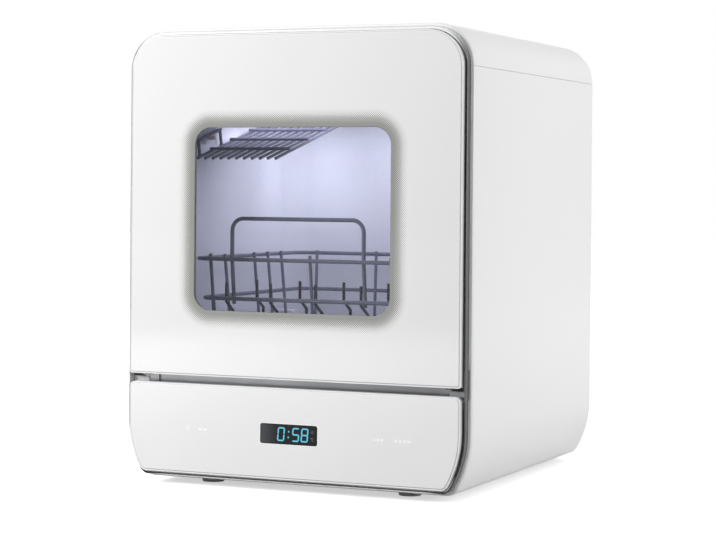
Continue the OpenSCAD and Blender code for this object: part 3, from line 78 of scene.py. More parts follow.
def surfaced(name, light, dark, rough, rough_span, grain_mm, relief_mm, patch_mm=45.0, **shader):
    """Even material with a grain: colour drifts from light to dark over patches, roughness varies
    by rough_span on the same patches, and a noise of grain_mm raises the surface by relief_mm."""
    material, tree = blank(name)
    place = put(tree, "ShaderNodeTexCoord").outputs["Object"]
    patch = put(tree, "ShaderNodeTexNoise", {"Vector": place, "Scale": 1000 / patch_mm, "Detail": 3.0})
    grain = put(tree, "ShaderNodeTexNoise", {"Vector": place, "Scale": 1000 / grain_mm, "Detail": 2.0})
    tint = put(tree, "ShaderNodeValToRGB", {"Fac": patch.outputs["Fac"]})
    tint.color_ramp.elements[0].position, tint.color_ramp.elements[0].color = 0.35, linear(dark)
    tint.color_ramp.elements[1].position, tint.color_ramp.elements[1].color = 0.65, linear(light)
    sheen = put(tree, "ShaderNodeMapRange", {"Value": patch.outputs["Fac"],
                                             "From Min": 0.3, "From Max": 0.7,
                                             "To Min": rough - rough_span, "To Max": rough + rough_span})
    relief = put(tree, "ShaderNodeBump", {"Height": grain.outputs["Fac"], "Strength": 1.0,
                                          "Distance": relief_mm / 1000})
    skin = put(tree, "ShaderNodeBsdfPrincipled", {"Base Color": tint.outputs["Color"],
                                                  "Roughness": sheen.outputs["Result"],
                                                  "Normal": relief.outputs["Normal"], **shader})
    put(tree, "ShaderNodeOutputMaterial", {"Surface": skin.outputs["BSDF"]})
    return material


def dress(material, *names):
    """Gives CAD nodes their finish."""
    for name in names:
        nodes[name].data.materials.clear()
        nodes[name].data.materials.append(material)


# Moulded ABS keeps the tool's spark-eroded grain, so its gloss is soft and broad.
white_abs = surfaced("white_abs_moulded", "#eeeeee", "#ededed", 0.34, 0.01, 1.4, 0.004, 260.0,
                     **{"IOR": 1.5, "Coat Weight": 0.15, "Coat Roughness": 0.3})
dress(white_abs, "left_side_panel", "right_side_panel", "top_cover", "fill_lid")

# Base pan and rear panel: pressed steel sheet with vents and a deep niche for the connections,
# powder-coated light grey. The panel closes the shell and the pan carries feet and pumps.
# Powder coat flows out into a shallow orange peel with a low, even gloss.
powder_coat = surfaced("light_grey_powder_coat", "#d6d6d5", "#cfcfcf", 0.46, 0.04, 1.6, 0.03, IOR=1.5)
dress(powder_coat, "base_pan", "rear_panel")

# Rear screws: eight pan-head screws of bright zinc-plated steel that draw the rear panel against
# the flange of the casing. Each head is domed, with a cross recess pressed into it.


def revolve(profile, turns):
    """Surface of revolution about +Z: (r, z) of the profile turned through equal angles."""
    angle = np.arange(turns) * 2 * np.pi / turns
    r, z = profile[:, :1], profile[:, 1:]
    return np.stack([r * np.cos(angle), r * np.sin(angle), z + 0 * angle], axis=-1)


def skin_mesh(name, grid, closed_v=True, closed_u=False):
    """Mesh of quads from a grid of points [u, v, xyz]; v (and u) may close on themselves."""
    nu, nv = grid.shape[:2]
    u, v = np.meshgrid(np.arange(nu if closed_u else nu - 1), np.arange(nv if closed_v else nv - 1),
                       indexing="ij")
    u, v = u.ravel(), v.ravel()
    un, vn = (u + 1) % nu, (v + 1) % nv
    quads = np.stack([u * nv + v, u * nv + vn, un * nv + vn, un * nv + v], axis=1)
    mesh = bpy.data.meshes.new(name)
    mesh.from_pydata(grid.reshape(-1, 3).tolist(), [], quads.tolist())
    mesh.update()
    return mesh


def settle(name, meshes, material, body, hides=(), smooth=True, outward=True):
    """Joins meshes into one object at the origin, welds doubles, turns faces outwards, rides it."""
    weld, sliver, sharp_from = 2e-6, 1e-7, np.radians(38)
    shell = bmesh.new()
    for part in meshes:
        shell.from_mesh(part)
        bpy.data.meshes.remove(part)
    bmesh.ops.remove_doubles(shell, verts=shell.verts, dist=weld)
    bmesh.ops.dissolve_degenerate(shell, edges=shell.edges, dist=sliver)
    if outward:
        bmesh.ops.recalc_face_normals(shell, faces=shell.faces)
    whole = bpy.data.meshes.new(name)
    shell.to_mesh(whole)
    shell.free()
    whole.materials.append(material)
    for face in whole.polygons:
        face.use_smooth = smooth
    if smooth:
        whole.set_sharp_from_angle(angle=sharp_from)
    piece = bpy.data.objects.new(name, whole)
    bpy.context.scene.collection.objects.link(piece)
    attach(piece, body)
    if hides:
        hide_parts(*hides)
    return piece


# Zinc plate is bright but slightly cloudy, so its highlight breaks up at the edges.
bright_zinc = surfaced("bright_zinc_plate", "#cdced0", "#b9babc", 0.27, 0.06, 0.5, 0.004, 6.0,
                       Metallic=1.0)
flange_x, flange_z = 0.1705, 0.4325
screw_places = [(x, z) for x in (-flange_x, flange_x) for z in (0.130, 0.245, 0.360)]
screw_places += [(x, flange_z) for x in (-0.1, 0.1)]
seat_y = 0.18122
screw_low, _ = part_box("rear_screws")
shank = (seat_y - screw_low[1]) * 1e3
# half section in mm, as radius and height over the seat: shank, underside, dome, recess
dome = np.array([(0, -shank), (1.1, -shank), (1.7, 0.8 - shank), (1.7, -0.05), (1.9, 0), (3.6, 0),
                 (3.58, 0.5), (3.3, 1.1), (2.8, 1.5), (2.1, 1.78), (1.3, 1.9), (1.1, 1.9), (0.9, 1.2),
                 (0, 0.9)])
recess_r, arm_stretch = 1.4e-3, 0.75
heads = []
for x, z in screw_places:
    grid = revolve(dome * 1e-3, 32)
    angle = np.arctan2(grid[..., 1], grid[..., 0])
    inner = (np.hypot(grid[..., 0], grid[..., 1]) < recess_r) & (grid[..., 2] > 0)
    # the recess is a four-pointed star: its radius is stretched where the angle lies on an arm
    arm = 1 + arm_stretch * np.clip(np.cos(4 * angle), 0, 1) ** 3
    grid[..., 0] *= np.where(inner, arm, 1)
    grid[..., 1] *= np.where(inner, arm, 1)
    grid = np.stack([x + grid[..., 0], seat_y + grid[..., 2], z + grid[..., 1]], axis=-1)
    heads.append(skin_mesh("head", grid))
settle("pan_head_screws", heads, bright_zinc, "cabinet", ["rear_screws"])

# Feet: four turned feet of rubber pressed into the base pan, ringed underneath so that they grip.
# Their pale grey is a guessed rubber colour, lightened as painted light against the shade under the
# pan. Rubber scatters light broadly and shows almost no highlight.
foot_rubber = surfaced("pale_grey_rubber_painted_light", "#dededf", "#d6d6d8", 0.75, 0.06, 0.8, 0.03, 12.0, IOR=1.5)
dress(foot_rubber, "feet")

# Front frame: moulded ABS lacquered satin silver, with the steel hinge brackets painted to match.
# Its thin lip stands proud of the casing round the door, and its recessed face carries the hinge
# and the control panel.
# The lacquer holds fine metal flake. Its colour carries painted reflection: down both sides the lip
# is painted dark as a mirror of dark surroundings, over the top and along the foot it is painted
# nearly white as a mirror of the bright sky, and the recess between door and panel lies in between.
satin_silver = surfaced("satin_silver_lacquer", "#dfe0e1", "#d9dadb", 0.32, 0.03, 0.7, 0.003, 18.0,
                        **{"Metallic": 0.5, "Coat Weight": 0.1, "Coat Roughness": 0.2})
silver_tree = satin_silver.node_tree
silver_skin = silver_tree.nodes["Principled BSDF"]
silver_place = silver_tree.nodes["Texture Coordinate"].outputs["Object"]
axes = put(silver_tree, "ShaderNodeSeparateXYZ", {"Vector": silver_place})
aside = put(silver_tree, "ShaderNodeMath", {0: axes.outputs["X"]}, operation="ABSOLUTE")
# the painted dark reflection sets in between these distances from the middle, and sooner by
# foot_shift below foot_z, where the flanks draw in
dark_from, dark_to, foot_z, foot_shift = 0.156, 0.175, 0.2, 0.020
by_foot = put(silver_tree, "ShaderNodeMath", {0: axes.outputs["Z"], 1: foot_z}, operation="LESS_THAN")
reach_out = put(silver_tree, "ShaderNodeMath", {0: by_foot.outputs[0], 1: foot_shift, 2: aside.outputs[0]},
                operation="MULTIPLY_ADD")
on_side = put(silver_tree, "ShaderNodeMapRange", {"Value": reach_out.outputs[0],
                                                  "From Min": dark_from, "From Max": dark_to})
# the painted dark reflection lies on the lip's outer walls, and on its inner walls only above and below
# the recess
lip_y, wall_x = -0.1727, 0.1744
on_lip = put(silver_tree, "ShaderNodeMath", {0: axes.outputs["Y"], 1: lip_y}, operation="LESS_THAN")
outer_wall = put(silver_tree, "ShaderNodeMath", {0: aside.outputs[0], 1: wall_x},
                 operation="GREATER_THAN")
recess_z, recess_half = 0.109, 0.014
recess_mid = put(silver_tree, "ShaderNodeMath", {0: axes.outputs["Z"], 1: -recess_z}, operation="ADD")
from_recess = put(silver_tree, "ShaderNodeMath", {0: recess_mid.outputs[0]}, operation="ABSOLUTE")
in_recess = put(silver_tree, "ShaderNodeMath", {0: from_recess.outputs[0], 1: recess_half},
                operation="LESS_THAN")
bare_wall = put(silver_tree, "ShaderNodeMath", {0: 1.0, 1: in_recess.outputs[0]}, operation="SUBTRACT")
dark_here = put(silver_tree, "ShaderNodeMath", {0: outer_wall.outputs[0], 1: bare_wall.outputs[0]},
                operation="MAXIMUM")
dark_side = put(silver_tree, "ShaderNodeMath", {0: on_side.outputs["Result"], 1: on_lip.outputs[0]},
                operation="MULTIPLY")
painted_dark_reflection_mask = put(silver_tree, "ShaderNodeMath", {0: dark_side.outputs[0], 1: dark_here.outputs[0]},
               operation="MULTIPLY")
# painted shade and light: the recess darkens from left to right, and its left end, which lies in shade, is
# painted white
across = put(silver_tree, "ShaderNodeMapRange", {"Value": axes.outputs["X"],
                                                 "From Min": -0.05, "From Max": 0.15})
recess_painted_shade = put(silver_tree, "ShaderNodeMix", {"Factor": across.outputs["Result"],
                                                 6: linear("#a9aaac"), 7: linear("#86878a")},
                  data_type="RGBA")
# painted light on the shaded left end
painted_light_end_x = -0.158
painted_light_left_end = put(silver_tree, "ShaderNodeMath", {0: axes.outputs["X"], 1: painted_light_end_x},
               operation="LESS_THAN")
end_painted_light = put(silver_tree, "ShaderNodeMix", {"Factor": painted_light_left_end.outputs[0], 6: recess_painted_shade.outputs[2],
                                              7: linear("#f6f6f6")}, data_type="RGBA")
pale = silver_skin.inputs["Base Color"].links[0].from_socket
toned = put(silver_tree, "ShaderNodeMix", {"Factor": in_recess.outputs[0], 6: pale,
                                           7: end_painted_light.outputs[2]}, data_type="RGBA")
# painted reflection: dark over the sides of the lip
lacquer = put(silver_tree, "ShaderNodeMix", {"Factor": painted_dark_reflection_mask.outputs[0], 6: toned.outputs[2],
                                             7: linear("#2f3033")}, data_type="RGBA")
silver_tree.links.new(lacquer.outputs[2], silver_skin.inputs["Base Color"])
dress(satin_silver, "front_frame", "hinge_brackets")

# Wash chamber: one moulding of white polypropylene, rounded along each edge so that water runs
# off, with guide rails and shelf pegs clipped to its walls. Polypropylene is slightly waxy.
white_pp = surfaced("white_polypropylene", "#e1e2e9", "#dedfe6", 0.36, 0.03, 2.4, 0.01, 90.0,
                    **{"IOR": 1.49, "Subsurface Weight": 0.06})
dress(white_pp, "tub", "basket_rails", "shelf_pegs")

# Door seal and pane gasket: extruded EPDM pressed on the flange of the tub and round the pane.
soft_rubber = surfaced("epdm_rubber", "#3a3c40", "#303236", 0.62, 0.05, 0.7, 0.01, 20.0, IOR=1.5)
dress(soft_rubber, "door_seal", "pane_gasket")

# Control panel: toughened glass printed white on its back, with ground edges, glued to a white
# housing. It is cut out for the display lens and carries the printed touch marks.


def arc(cx, cz, r, a, b, n=14):
    """n points on an arc about (cx, cz) from angle a to angle b in degrees."""
    t = np.radians(np.linspace(a, b, n))
    return np.stack([cx + r * np.cos(t), cz + r * np.sin(t)], axis=1)


def at_depth(points, y):
    """Points in X and Z set at the depth y."""
    return np.stack([points[:, 0], y + 0 * points[:, 0], points[:, 1]], axis=1)


def filled_in(points, step=0.006):
    """The closed outline with its long straight edges cut into steps."""
    out = []
    for p, q in zip(points, np.roll(points, -1, axis=0)):
        n = max(1, int(np.ceil(np.hypot(*(q - p)) / step)))
        out.append(p + (q - p) * np.arange(n)[:, None] / n)
    return np.concatenate(out)


def box_outline(x0, z0, x1, z1, r):
    """Rounded rectangle, counter-clockwise."""
    return filled_in(np.concatenate([arc(x1 - r, z0 + r, r, -90, 0), arc(x1 - r, z1 - r, r, 0, 90),
                                     arc(x0 + r, z1 - r, r, 90, 180), arc(x0 + r, z0 + r, r, 180, 270)]))


def fit_to_rays(points, centre, angles):
    """Where rays from the centre at these angles cross the outline: the radius is 1/(A cos + B sin),
    with A and B from the two outline points on either side of the ray."""
    rel = points - centre
    own = np.arctan2(rel[:, 1], rel[:, 0]) % (2 * np.pi)
    order = np.argsort(own)
    rel, own = rel[order], own[order]
    k = np.searchsorted(own, angles, side="right") % len(own)
    p, q = rel[k - 1], rel[k]
    cross = p[:, 0] * q[:, 1] - p[:, 1] * q[:, 0]
    a, b = (q[:, 1] - p[:, 1]) / cross, (p[:, 0] - q[:, 0]) / cross
    radius = 1 / (a * np.cos(angles) + b * np.sin(angles))
    return centre + radius[:, None] * np.stack([np.cos(angles), np.sin(angles)], axis=1)


def inset(points, by):
    """The outline moved inwards by a distance along its averaged edge normals."""
    before, after = np.roll(points, 1, axis=0), np.roll(points, -1, axis=0)
    along = after - before
    along /= np.hypot(along[:, 0], along[:, 1])[:, None]
    return points + by * np.stack([-along[:, 1], along[:, 0]], axis=1)


def sheet_with_hole(name, outer, hole, centre, front, back, bevel):
    """Flat plate between two outlines in X and Z, from depth front to back, its edges broken by a
    bevel: every ray from the centre carries the same profile of six points round the plate."""
    rays = [np.arctan2((p - centre)[:, 1], (p - centre)[:, 0]) % (2 * np.pi) for p in (outer, hole)]
    angles = np.unique(np.round(np.concatenate(rays), 7))
    out, cut = fit_to_rays(outer, centre, angles), fit_to_rays(hole, centre, angles)
    out_in, cut_in = inset(out, bevel), inset(cut, -bevel)
    rows = [(cut, back), (cut, front + bevel), (cut_in, front), (out_in, front), (out, front + bevel),
            (out, back)]
    grid = np.stack([at_depth(points, y) for points, y in rows])
    return skin_mesh(name, grid, closed_v=True, closed_u=True)


def panel_outline(s):
    """Flank arcs of the casing drawn in by s, with rounded top corners. Each flank is an arc of
    106 mm that meets an arc of 14 mm at the foot, where both have the same tangent."""
    flank_x, flank_z, flank_r, foot_z, foot_r, centres_apart = 0.072, 0.065, 0.106, 0.021, 0.014, 0.092
    side_x, top_z, top_r, margin = 0.178, 0.0987, 0.006 - s, 0.006 + s
    phi = np.degrees(np.arcsin((flank_z - foot_z) / centres_apart))
    foot_x = flank_x + centres_apart * np.cos(np.radians(phi))
    right = np.concatenate([arc(foot_x, foot_z, foot_r - margin, -90, -phi),
                            arc(flank_x, flank_z, flank_r - margin, -phi, 0),
                            arc(side_x - margin - top_r, top_z - s - top_r, top_r, 0, 90)])
    left = right[::-1] * np.array([-1, 1])
    return filled_in(np.concatenate([right, left]))


# Printed glass looks like wet white enamel: the colour sits under a clear, very smooth face.
panel_glass = surfaced("white_printed_glass", "#ebebeb", "#e9e9e9", 0.07, 0.015, 9.0, 0.0015, 120.0,
                       **{"IOR": 1.52, "Coat Weight": 0.6, "Coat Roughness": 0.03})
glass_front, glass_back, glass_inset, glass_bevel = -0.1855, -0.1823, 0.0014, 0.0006
mark_z = 0.0558
display = np.array([-0.0295, 0.0464, 0.0295, 0.0651])
grow = np.array([-1, -1, 1, 1])
lens_hole = box_outline(*(display + 1e-4 * grow), 0.0021)
plate = sheet_with_hole("plate", panel_outline(glass_inset), lens_hole, np.array([0.0, mark_z]),
                        glass_front, glass_back, glass_bevel)
settle("control_panel_glass", [plate], panel_glass, "cabinet", ["control_panel"])

# The housing and the door frame show as a fine white rim; painted shade greys their outermost left edge.
rim_abs = surfaced("white_abs_rim", "#f1f1f1", "#ededee", 0.25, 0.03, 0.9, 0.004,
                   **{"IOR": 1.52, "Coat Weight": 0.3, "Coat Roughness": 0.15})
rim_tree = rim_abs.node_tree
rim_skin = rim_tree.nodes["Principled BSDF"]
rim_place = rim_tree.nodes["Texture Coordinate"].outputs["Object"]
rim_axes = put(rim_tree, "ShaderNodeSeparateXYZ", {"Vector": rim_place})
# painted shade on the outermost left edge of the rim
left_edge_painted_shade = put(rim_tree, "ShaderNodeMapRange", {"Value": rim_axes.outputs["X"],
                                                 "From Min": -0.1704, "From Max": -0.1712})
rim_white = rim_skin.inputs["Base Color"].links[0].from_socket
rim_painted_shade = put(rim_tree, "ShaderNodeMix", {"Factor": left_edge_painted_shade.outputs["Result"], 6: rim_white,
                                           7: linear("#c4c4c4")}, data_type="RGBA")
rim_tree.links.new(rim_painted_shade.outputs[2], rim_skin.inputs["Base Color"])
dress(rim_abs, "panel_housing", "door_frame")

# Touch marks: plain generic signs left clear in the print, so that they stand out whiter than the
# panel: an open ring with a bar, and rows of small blocks 2 to 2.6 mm high. All prints lie a few
# hundredths of a millimetre off the glass or the lens.


def strip(x0, z0, x1, z1, y):
    """Flat rectangle facing the front."""
    grid = np.array([[(x0, y, z0), (x0, y, z1)], [(x1, y, z0), (x1, y, z1)]])
    return skin_mesh("strip", grid, closed_v=False)


def ring(cx, cz, r0, r1, y, a=0.0, b=360.0):
    """Flat ring, or part of one, facing the front."""
    return skin_mesh("ring", np.stack([at_depth(arc(cx, cz, r, a, b, 40), y) for r in (r0, r1)]),
                     closed_v=False)


mark_ink = surfaced("white_lit_print", "#ffffff", "#fcfcfc", 0.3, 0.02, 1.0, 0.001, 4.0, IOR=1.5)
mark_y, power_x = glass_front - 4e-5, -0.1073


def blocks(first, count, pitch, width, height):
    """A row of small rectangles on the panel."""
    return [strip(x, mark_z - height / 2, x + width, mark_z + height / 2, mark_y)
            for x in first + pitch * np.arange(count)]


marks = [ring(power_x, mark_z, 0.0016, 0.0023, mark_y, -240, 60),
         strip(power_x - 0.0004, mark_z + 0.0004, power_x + 0.0004, mark_z + 0.0028, mark_y),
         ring(0.0870, mark_z, 0.0009, 0.0017, mark_y)]
marks += blocks(-0.0956, 2, 0.0049, 0.0045, 0.0020) + blocks(0.0897, 2, 0.0037, 0.0030, 0.0026)
marks += blocks(0.1074, 4, 0.0043, 0.0034, 0.0026)
settle("touch_marks", marks, mark_ink, "cabinet", smooth=False, outward=False)

# Display: a black tinted lens let into the panel, behind which three seven-segment digits and a
# colon glow cyan and the left field shows a grey haze. A fine white line is printed round the lens.
black_lens = surfaced("black_tinted_lens", "#0b0c0e", "#08090b", 0.06, 0.01, 9.0, 0.0005, 60.0,
                      **{"IOR": 1.49, "Specular IOR Level": 0.2})
dress(black_lens, "display_lens")
lens_y, haze_end, haze_inset = -0.1853, -0.0120, 0.0008
smoke, smoke_tree = blank("display_backlight_haze")
smoke_place = put(smoke_tree, "ShaderNodeTexCoord").outputs["Object"]
smoke_axes = put(smoke_tree, "ShaderNodeSeparateXYZ", {"Vector": smoke_place})
smoke_fade = put(smoke_tree, "ShaderNodeMapRange", {"Value": smoke_axes.outputs["X"],
                                                    "From Min": display[0], "From Max": haze_end})
smoke_tint = put(smoke_tree, "ShaderNodeMix", {"Factor": smoke_fade.outputs["Result"],
                                               6: linear("#47494c"), 7: linear("#0c0d0f")},
                 data_type="RGBA")
smoke_skin = put(smoke_tree, "ShaderNodeBsdfPrincipled", {"Base Color": smoke_tint.outputs[2],
                                                          "Roughness": 0.2, "Specular IOR Level": 0.2})
put(smoke_tree, "ShaderNodeOutputMaterial", {"Surface": smoke_skin.outputs["BSDF"]})
haze = strip(display[0] + haze_inset, display[1] + haze_inset, haze_end, display[3] - haze_inset,
             lens_y - 2e-5)
settle("display_left_field", [haze], smoke, "cabinet", smooth=False, outward=False)

border_width = 0.0007
frame_line = box_outline(*(display + 9e-4 * grow), 0.0029)
border = np.stack([at_depth(points, glass_front - 3e-5)
                   for points in (frame_line, inset(frame_line, border_width))])
settle("display_border", [skin_mesh("border", border)], mark_ink, "cabinet",
       smooth=False, outward=False)

# Digits: each segment is a pointed bar 1.4 mm wide and about 6 mm long, and the whole row leans
# by 8 in 100.
lit, lit_tree = blank("cyan_led_segments")
lit_skin = put(lit_tree, "ShaderNodeBsdfPrincipled", {"Base Color": linear("#1b4a58"), "Roughness": 0.35,
               "Emission Color": linear("#5cc4dc"), "Emission Strength": 0.85})
put(lit_tree, "ShaderNodeOutputMaterial", {"Surface": lit_skin.outputs["BSDF"]})
digit_h, digit_w, segment_w, lean, print_y = 0.0118, 0.0062, 0.0014, 0.08, lens_y - 4e-5


def segment(cx, cz, length, upright):
    """Pointed bar: half length at the middle line, half length less half width at its edges."""
    half, w = length / 2, segment_w / 2
    along = np.array([-half, -half + w, half - w, half])
    off = np.array([0, w, w, 0])
    flat = np.stack([np.stack([along, off], 1), np.stack([along, -off], 1)])
    flat = flat[..., ::-1] if upright else flat
    grid = np.stack([cx + flat[..., 0] + lean * (flat[..., 1] + cz - mark_z), print_y + 0 * flat[..., 0],
                     cz + flat[..., 1]], axis=-1)
    return skin_mesh("segment", grid, closed_v=False)


segments_of = {"0": "abcdef", "5": "acdfg", "8": "abcdefg"}
# each segment's place in half widths and half heights from the digit's middle, and if it is upright
spots = {"a": (0, 1, False), "g": (0, 0, False), "d": (0, -1, False), "f": (-1, 0.5, True),
         "b": (1, 0.5, True), "e": (-1, -0.5, True), "c": (1, -0.5, True)}
bars = []
for symbol, cx in (("0", -0.0079), ("5", 0.0073), ("8", 0.0165)):
    for key in segments_of[symbol]:
        sx, sz, upright = spots[key]
        bars.append(segment(cx + sx * digit_w / 2, mark_z + sz * digit_h / 2,
                            digit_h / 2 if upright else digit_w, upright))
colon_x, colon_dz, colon_half = -0.0001, 0.0027, 0.0008
for dz in (-colon_dz, colon_dz):
    dot_x, dot_z = colon_x + lean * dz, mark_z + dz
    bars.append(strip(dot_x - 0.0007, dot_z - colon_half, dot_x + 0.0007, dot_z + colon_half, print_y))
settle("display_digits", bars, lit, "cabinet", smooth=False, outward=False)

# Indicators: a small sun over a degree ring and an arc, dim until the machine heats.
dim_print = surfaced("dim_indicator_print", "#6a7476", "#626c6e", 0.4, 0.02, 1.0, 0.001, 4.0, IOR=1.5)
sun_x, sun_z, unit_z, ray_r, ray_half = 0.0245, mark_z + 0.0034, mark_z - 0.0037, 0.0016, 0.0002
signs = [ring(sun_x, sun_z, 0.0007, 0.0010, print_y),
         ring(sun_x - 0.0014, unit_z + 0.0013, 0.0003, 0.0006, print_y),
         ring(sun_x + 0.0006, unit_z, 0.0010, 0.0014, print_y, 50, 310)]
for x, z in arc(sun_x, sun_z, ray_r, 0, 315, 8):
    signs.append(strip(x - ray_half, z - ray_half, x + ray_half, z + ray_half, print_y))
settle("display_indicators", signs, dim_print, "cabinet", smooth=False, outward=False)

# Electronics behind the panel: a green board with relays and a controller, a black display
# module and four plated springs that carry the touch of a finger to the board.
black_moulding = surfaced("black_glass_filled_nylon", "#242527", "#1d1e20", 0.5, 0.05, 0.8, 0.01, 15.0,
                          IOR=1.5)
dress(black_moulding, "display_module", "door_lock", "power_gland", "fan_wheel", "pump_impeller")
solder_mask = surfaced("green_solder_mask", "#1e5a3a", "#184d31", 0.28, 0.05, 1.5, 0.01, 8.0, IOR=1.55)
dress(solder_mask, "control_board")
dress(bright_zinc, "touch_springs", "hinge_pins", "fill_lid_pin", "door_strike")

# Hinge: steel brackets lacquered with the front frame, pins through their ears, and black coated
# arms on the door, whose knuckles show at its lower corners.
black_coat = surfaced("black_e_coat", "#1a1b1d", "#141517", 0.38, 0.05, 0.6, 0.006, 10.0, IOR=1.5)
dress(black_coat, "hinge_arms")

# Lip beads: two bars of white ABS clipped inside the lip. One closes the gap over the door, one
# the gap under the panel, and both thin out to nothing where the lip turns down the sides. Their
# white is painted light: it puts brightness into gaps that would lie in shade.


def bead(name, path, width, front, back):
    """Bar along an open path: six points of section, of which the inner ones stand off by the width
    at that point, so that a width of zero at both ends closes the bar."""
    inwards, edge = (inset(path, 1.0) - path) * width[:, None], 5e-4
    section = [(0, back), (0, front + edge), (0.2, front), (0.8, front), (1, front + edge), (1, back)]
    return skin_mesh(name, np.stack([at_depth(path + k * inwards, y) for k, y in section], axis=1))


def eased(t):
    """Smooth step: 3t^2 - 2t^3 between 0 and 1."""
    t = np.clip(t, 0, 1)
    return t * t * (3 - 2 * t)


# over the door the path follows the lip's inner edge from 3 degrees over one side to the other
corner_x, corner_z, inner_r, start, half = 0.138, 0.400, 0.0359, 3, 50
turn = np.concatenate([np.linspace(start, 90, half), np.linspace(90, 180 - start, half)])
over_door = np.stack([np.where(turn <= 90, corner_x, -corner_x) + inner_r * np.cos(np.radians(turn)),
                      corner_z + inner_r * np.sin(np.radians(turn))], axis=1)
over_door[half - 1, 0], over_door[half, 0] = corner_x, -corner_x
from_side, fade = np.minimum(turn, 180 - turn), 45
over_width = (1.4e-3 + 1e-3 * np.sin(np.radians(turn))) * eased((from_side - start) / fade)
# under the panel it follows the casing's foot, up to where the flanks rise
foot_loop = panel_outline(-0.0017)
under_panel = foot_loop[foot_loop[:, 1] < 0.030]
under_panel = under_panel[np.argsort(np.arctan2(under_panel[:, 1] - 0.2, under_panel[:, 0]))]
under_width = 1.5e-3 * eased((0.029 - under_panel[:, 1]) / 0.013)
# white that stands in as painted light for the shaded gaps
painted_light_bead = surfaced("white_abs_bead_painted_light", "#f0f0f0", "#ececec", 0.3, 0.03, 0.9, 0.003, 60.0,
                      **{"IOR": 1.52, "Coat Weight": 0.2, "Coat Roughness": 0.2})
beads = [bead("bead", path, width, -0.1809, -0.1775)
         for path, width in ((over_door, over_width), (under_panel, under_width))]
settle("front_lip_beads", beads, painted_light_bead, "cabinet")

# Corner blocks: pale lacquered ends of the recess, which cover the hinge brackets behind the
# knuckles. They stand back far enough for the lower edge of the door to swing past.


def tile(name, outline, front, back, bevel):
    """Closed flat piece: centre, outline at the back, outline behind the bevel, inset front, centre."""
    middle = outline.mean(axis=0) + 0 * outline
    rows = [(middle, back), (outline, back), (outline, front + bevel), (inset(outline, bevel), front),
            (middle, front)]
    return skin_mesh(name, np.stack([at_depth(points, y) for points, y in rows]))


end_in, end_out, end_low, end_high, end_r = 0.1565, 0.1736, 0.0973, 0.1032, 0.0012
ends = [tile("end", box_outline(left, end_low, right, end_high, end_r), -0.1727, -0.1695, 0.0005)
        for left, right in ((-end_out, -end_in), (end_in, end_out))]
# lacquer with less flake than on the frame, its tone painted with light and shade: white at the shaded
# left end and light grey at the right
pale_lacquer = surfaced("pale_silver_lacquer", "#d2d3d4", "#cccdce", 0.3, 0.03, 0.7, 0.003, 18.0,
                        **{"Coat Weight": 0.3, "Coat Roughness": 0.12})
pale_tree = pale_lacquer.node_tree
pale_place = pale_tree.nodes["Texture Coordinate"].outputs["Object"]
pale_axes = put(pale_tree, "ShaderNodeSeparateXYZ", {"Vector": pale_place})
to_right = put(pale_tree, "ShaderNodeMapRange", {"Value": pale_axes.outputs["X"],
                                                 "From Min": -0.15, "From Max": 0.15})
# painted light at the left end fading to painted shade at the right
painted_light_and_shade = put(pale_tree, "ShaderNodeMix", {"Factor": to_right.outputs["Result"],
                                             6: linear("#f8f8f8"), 7: linear("#c2c3c5")},
                data_type="RGBA")
pale_tree.links.new(painted_light_and_shade.outputs[2], pale_tree.nodes["Principled BSDF"].inputs["Base Color"])
settle("recess_end_blocks", ends, pale_lacquer, "cabinet")

# Knuckle caps: black coated sleeves over the knuckles, turned with a small edge chamfer. They
# swing with the door and show below its lower corners.
cap_r, cap_half, cap_edge, hinge_y, hinge_z = 0.0063, 0.0045, 6e-4, -0.176, 0.1096
cap_profile = np.array([(0, -cap_half), (cap_r - cap_edge, -cap_half), (cap_r, -cap_half + cap_edge),
                        (cap_r, cap_half - cap_edge), (cap_r - cap_edge, cap_half), (0, cap_half)])
caps = []
for cap_x in (-0.1653, 0.1653):
    grid = revolve(cap_profile, 48)
    grid = np.stack([cap_x + grid[..., 2], hinge_y + grid[..., 0], hinge_z + grid[..., 1]], axis=-1)
    caps.append(skin_mesh("cap", grid))
settle("knuckle_caps", caps, black_coat, "door")

# Sump, pumps, valves and fan: plain grey glass-filled polypropylene mouldings below and above
# the tub, left as they come from the tool.
grey_pp = surfaced("grey_filled_polypropylene", "#b9bbbd", "#aeb0b2", 0.48, 0.05, 1.2, 0.02, 30.0,
                   IOR=1.49)
dress(grey_pp, "sump", "wash_pump", "drain_pump", "fan_housing", "fan_motor", "drain_fitting",
      "inlet_valve", "feed_valve")

# Filters: a perforated stainless plate over the sump and a cup with a twist handle in it.
# Rolled stainless has fine lines along the sheet, so its gloss spreads across them.
filter_sheet, filter_tree = blank("perforated_stainless_sheet")
place = put(filter_tree, "ShaderNodeTexCoord").outputs["Object"]
lines = put(filter_tree, "ShaderNodeMapping", {"Vector": place, "Scale": (30.0, 2500.0, 30.0)})
brushed = put(filter_tree, "ShaderNodeTexNoise", {"Vector": lines.outputs["Vector"], "Scale": 1.0,
                                                  "Detail": 3.0})
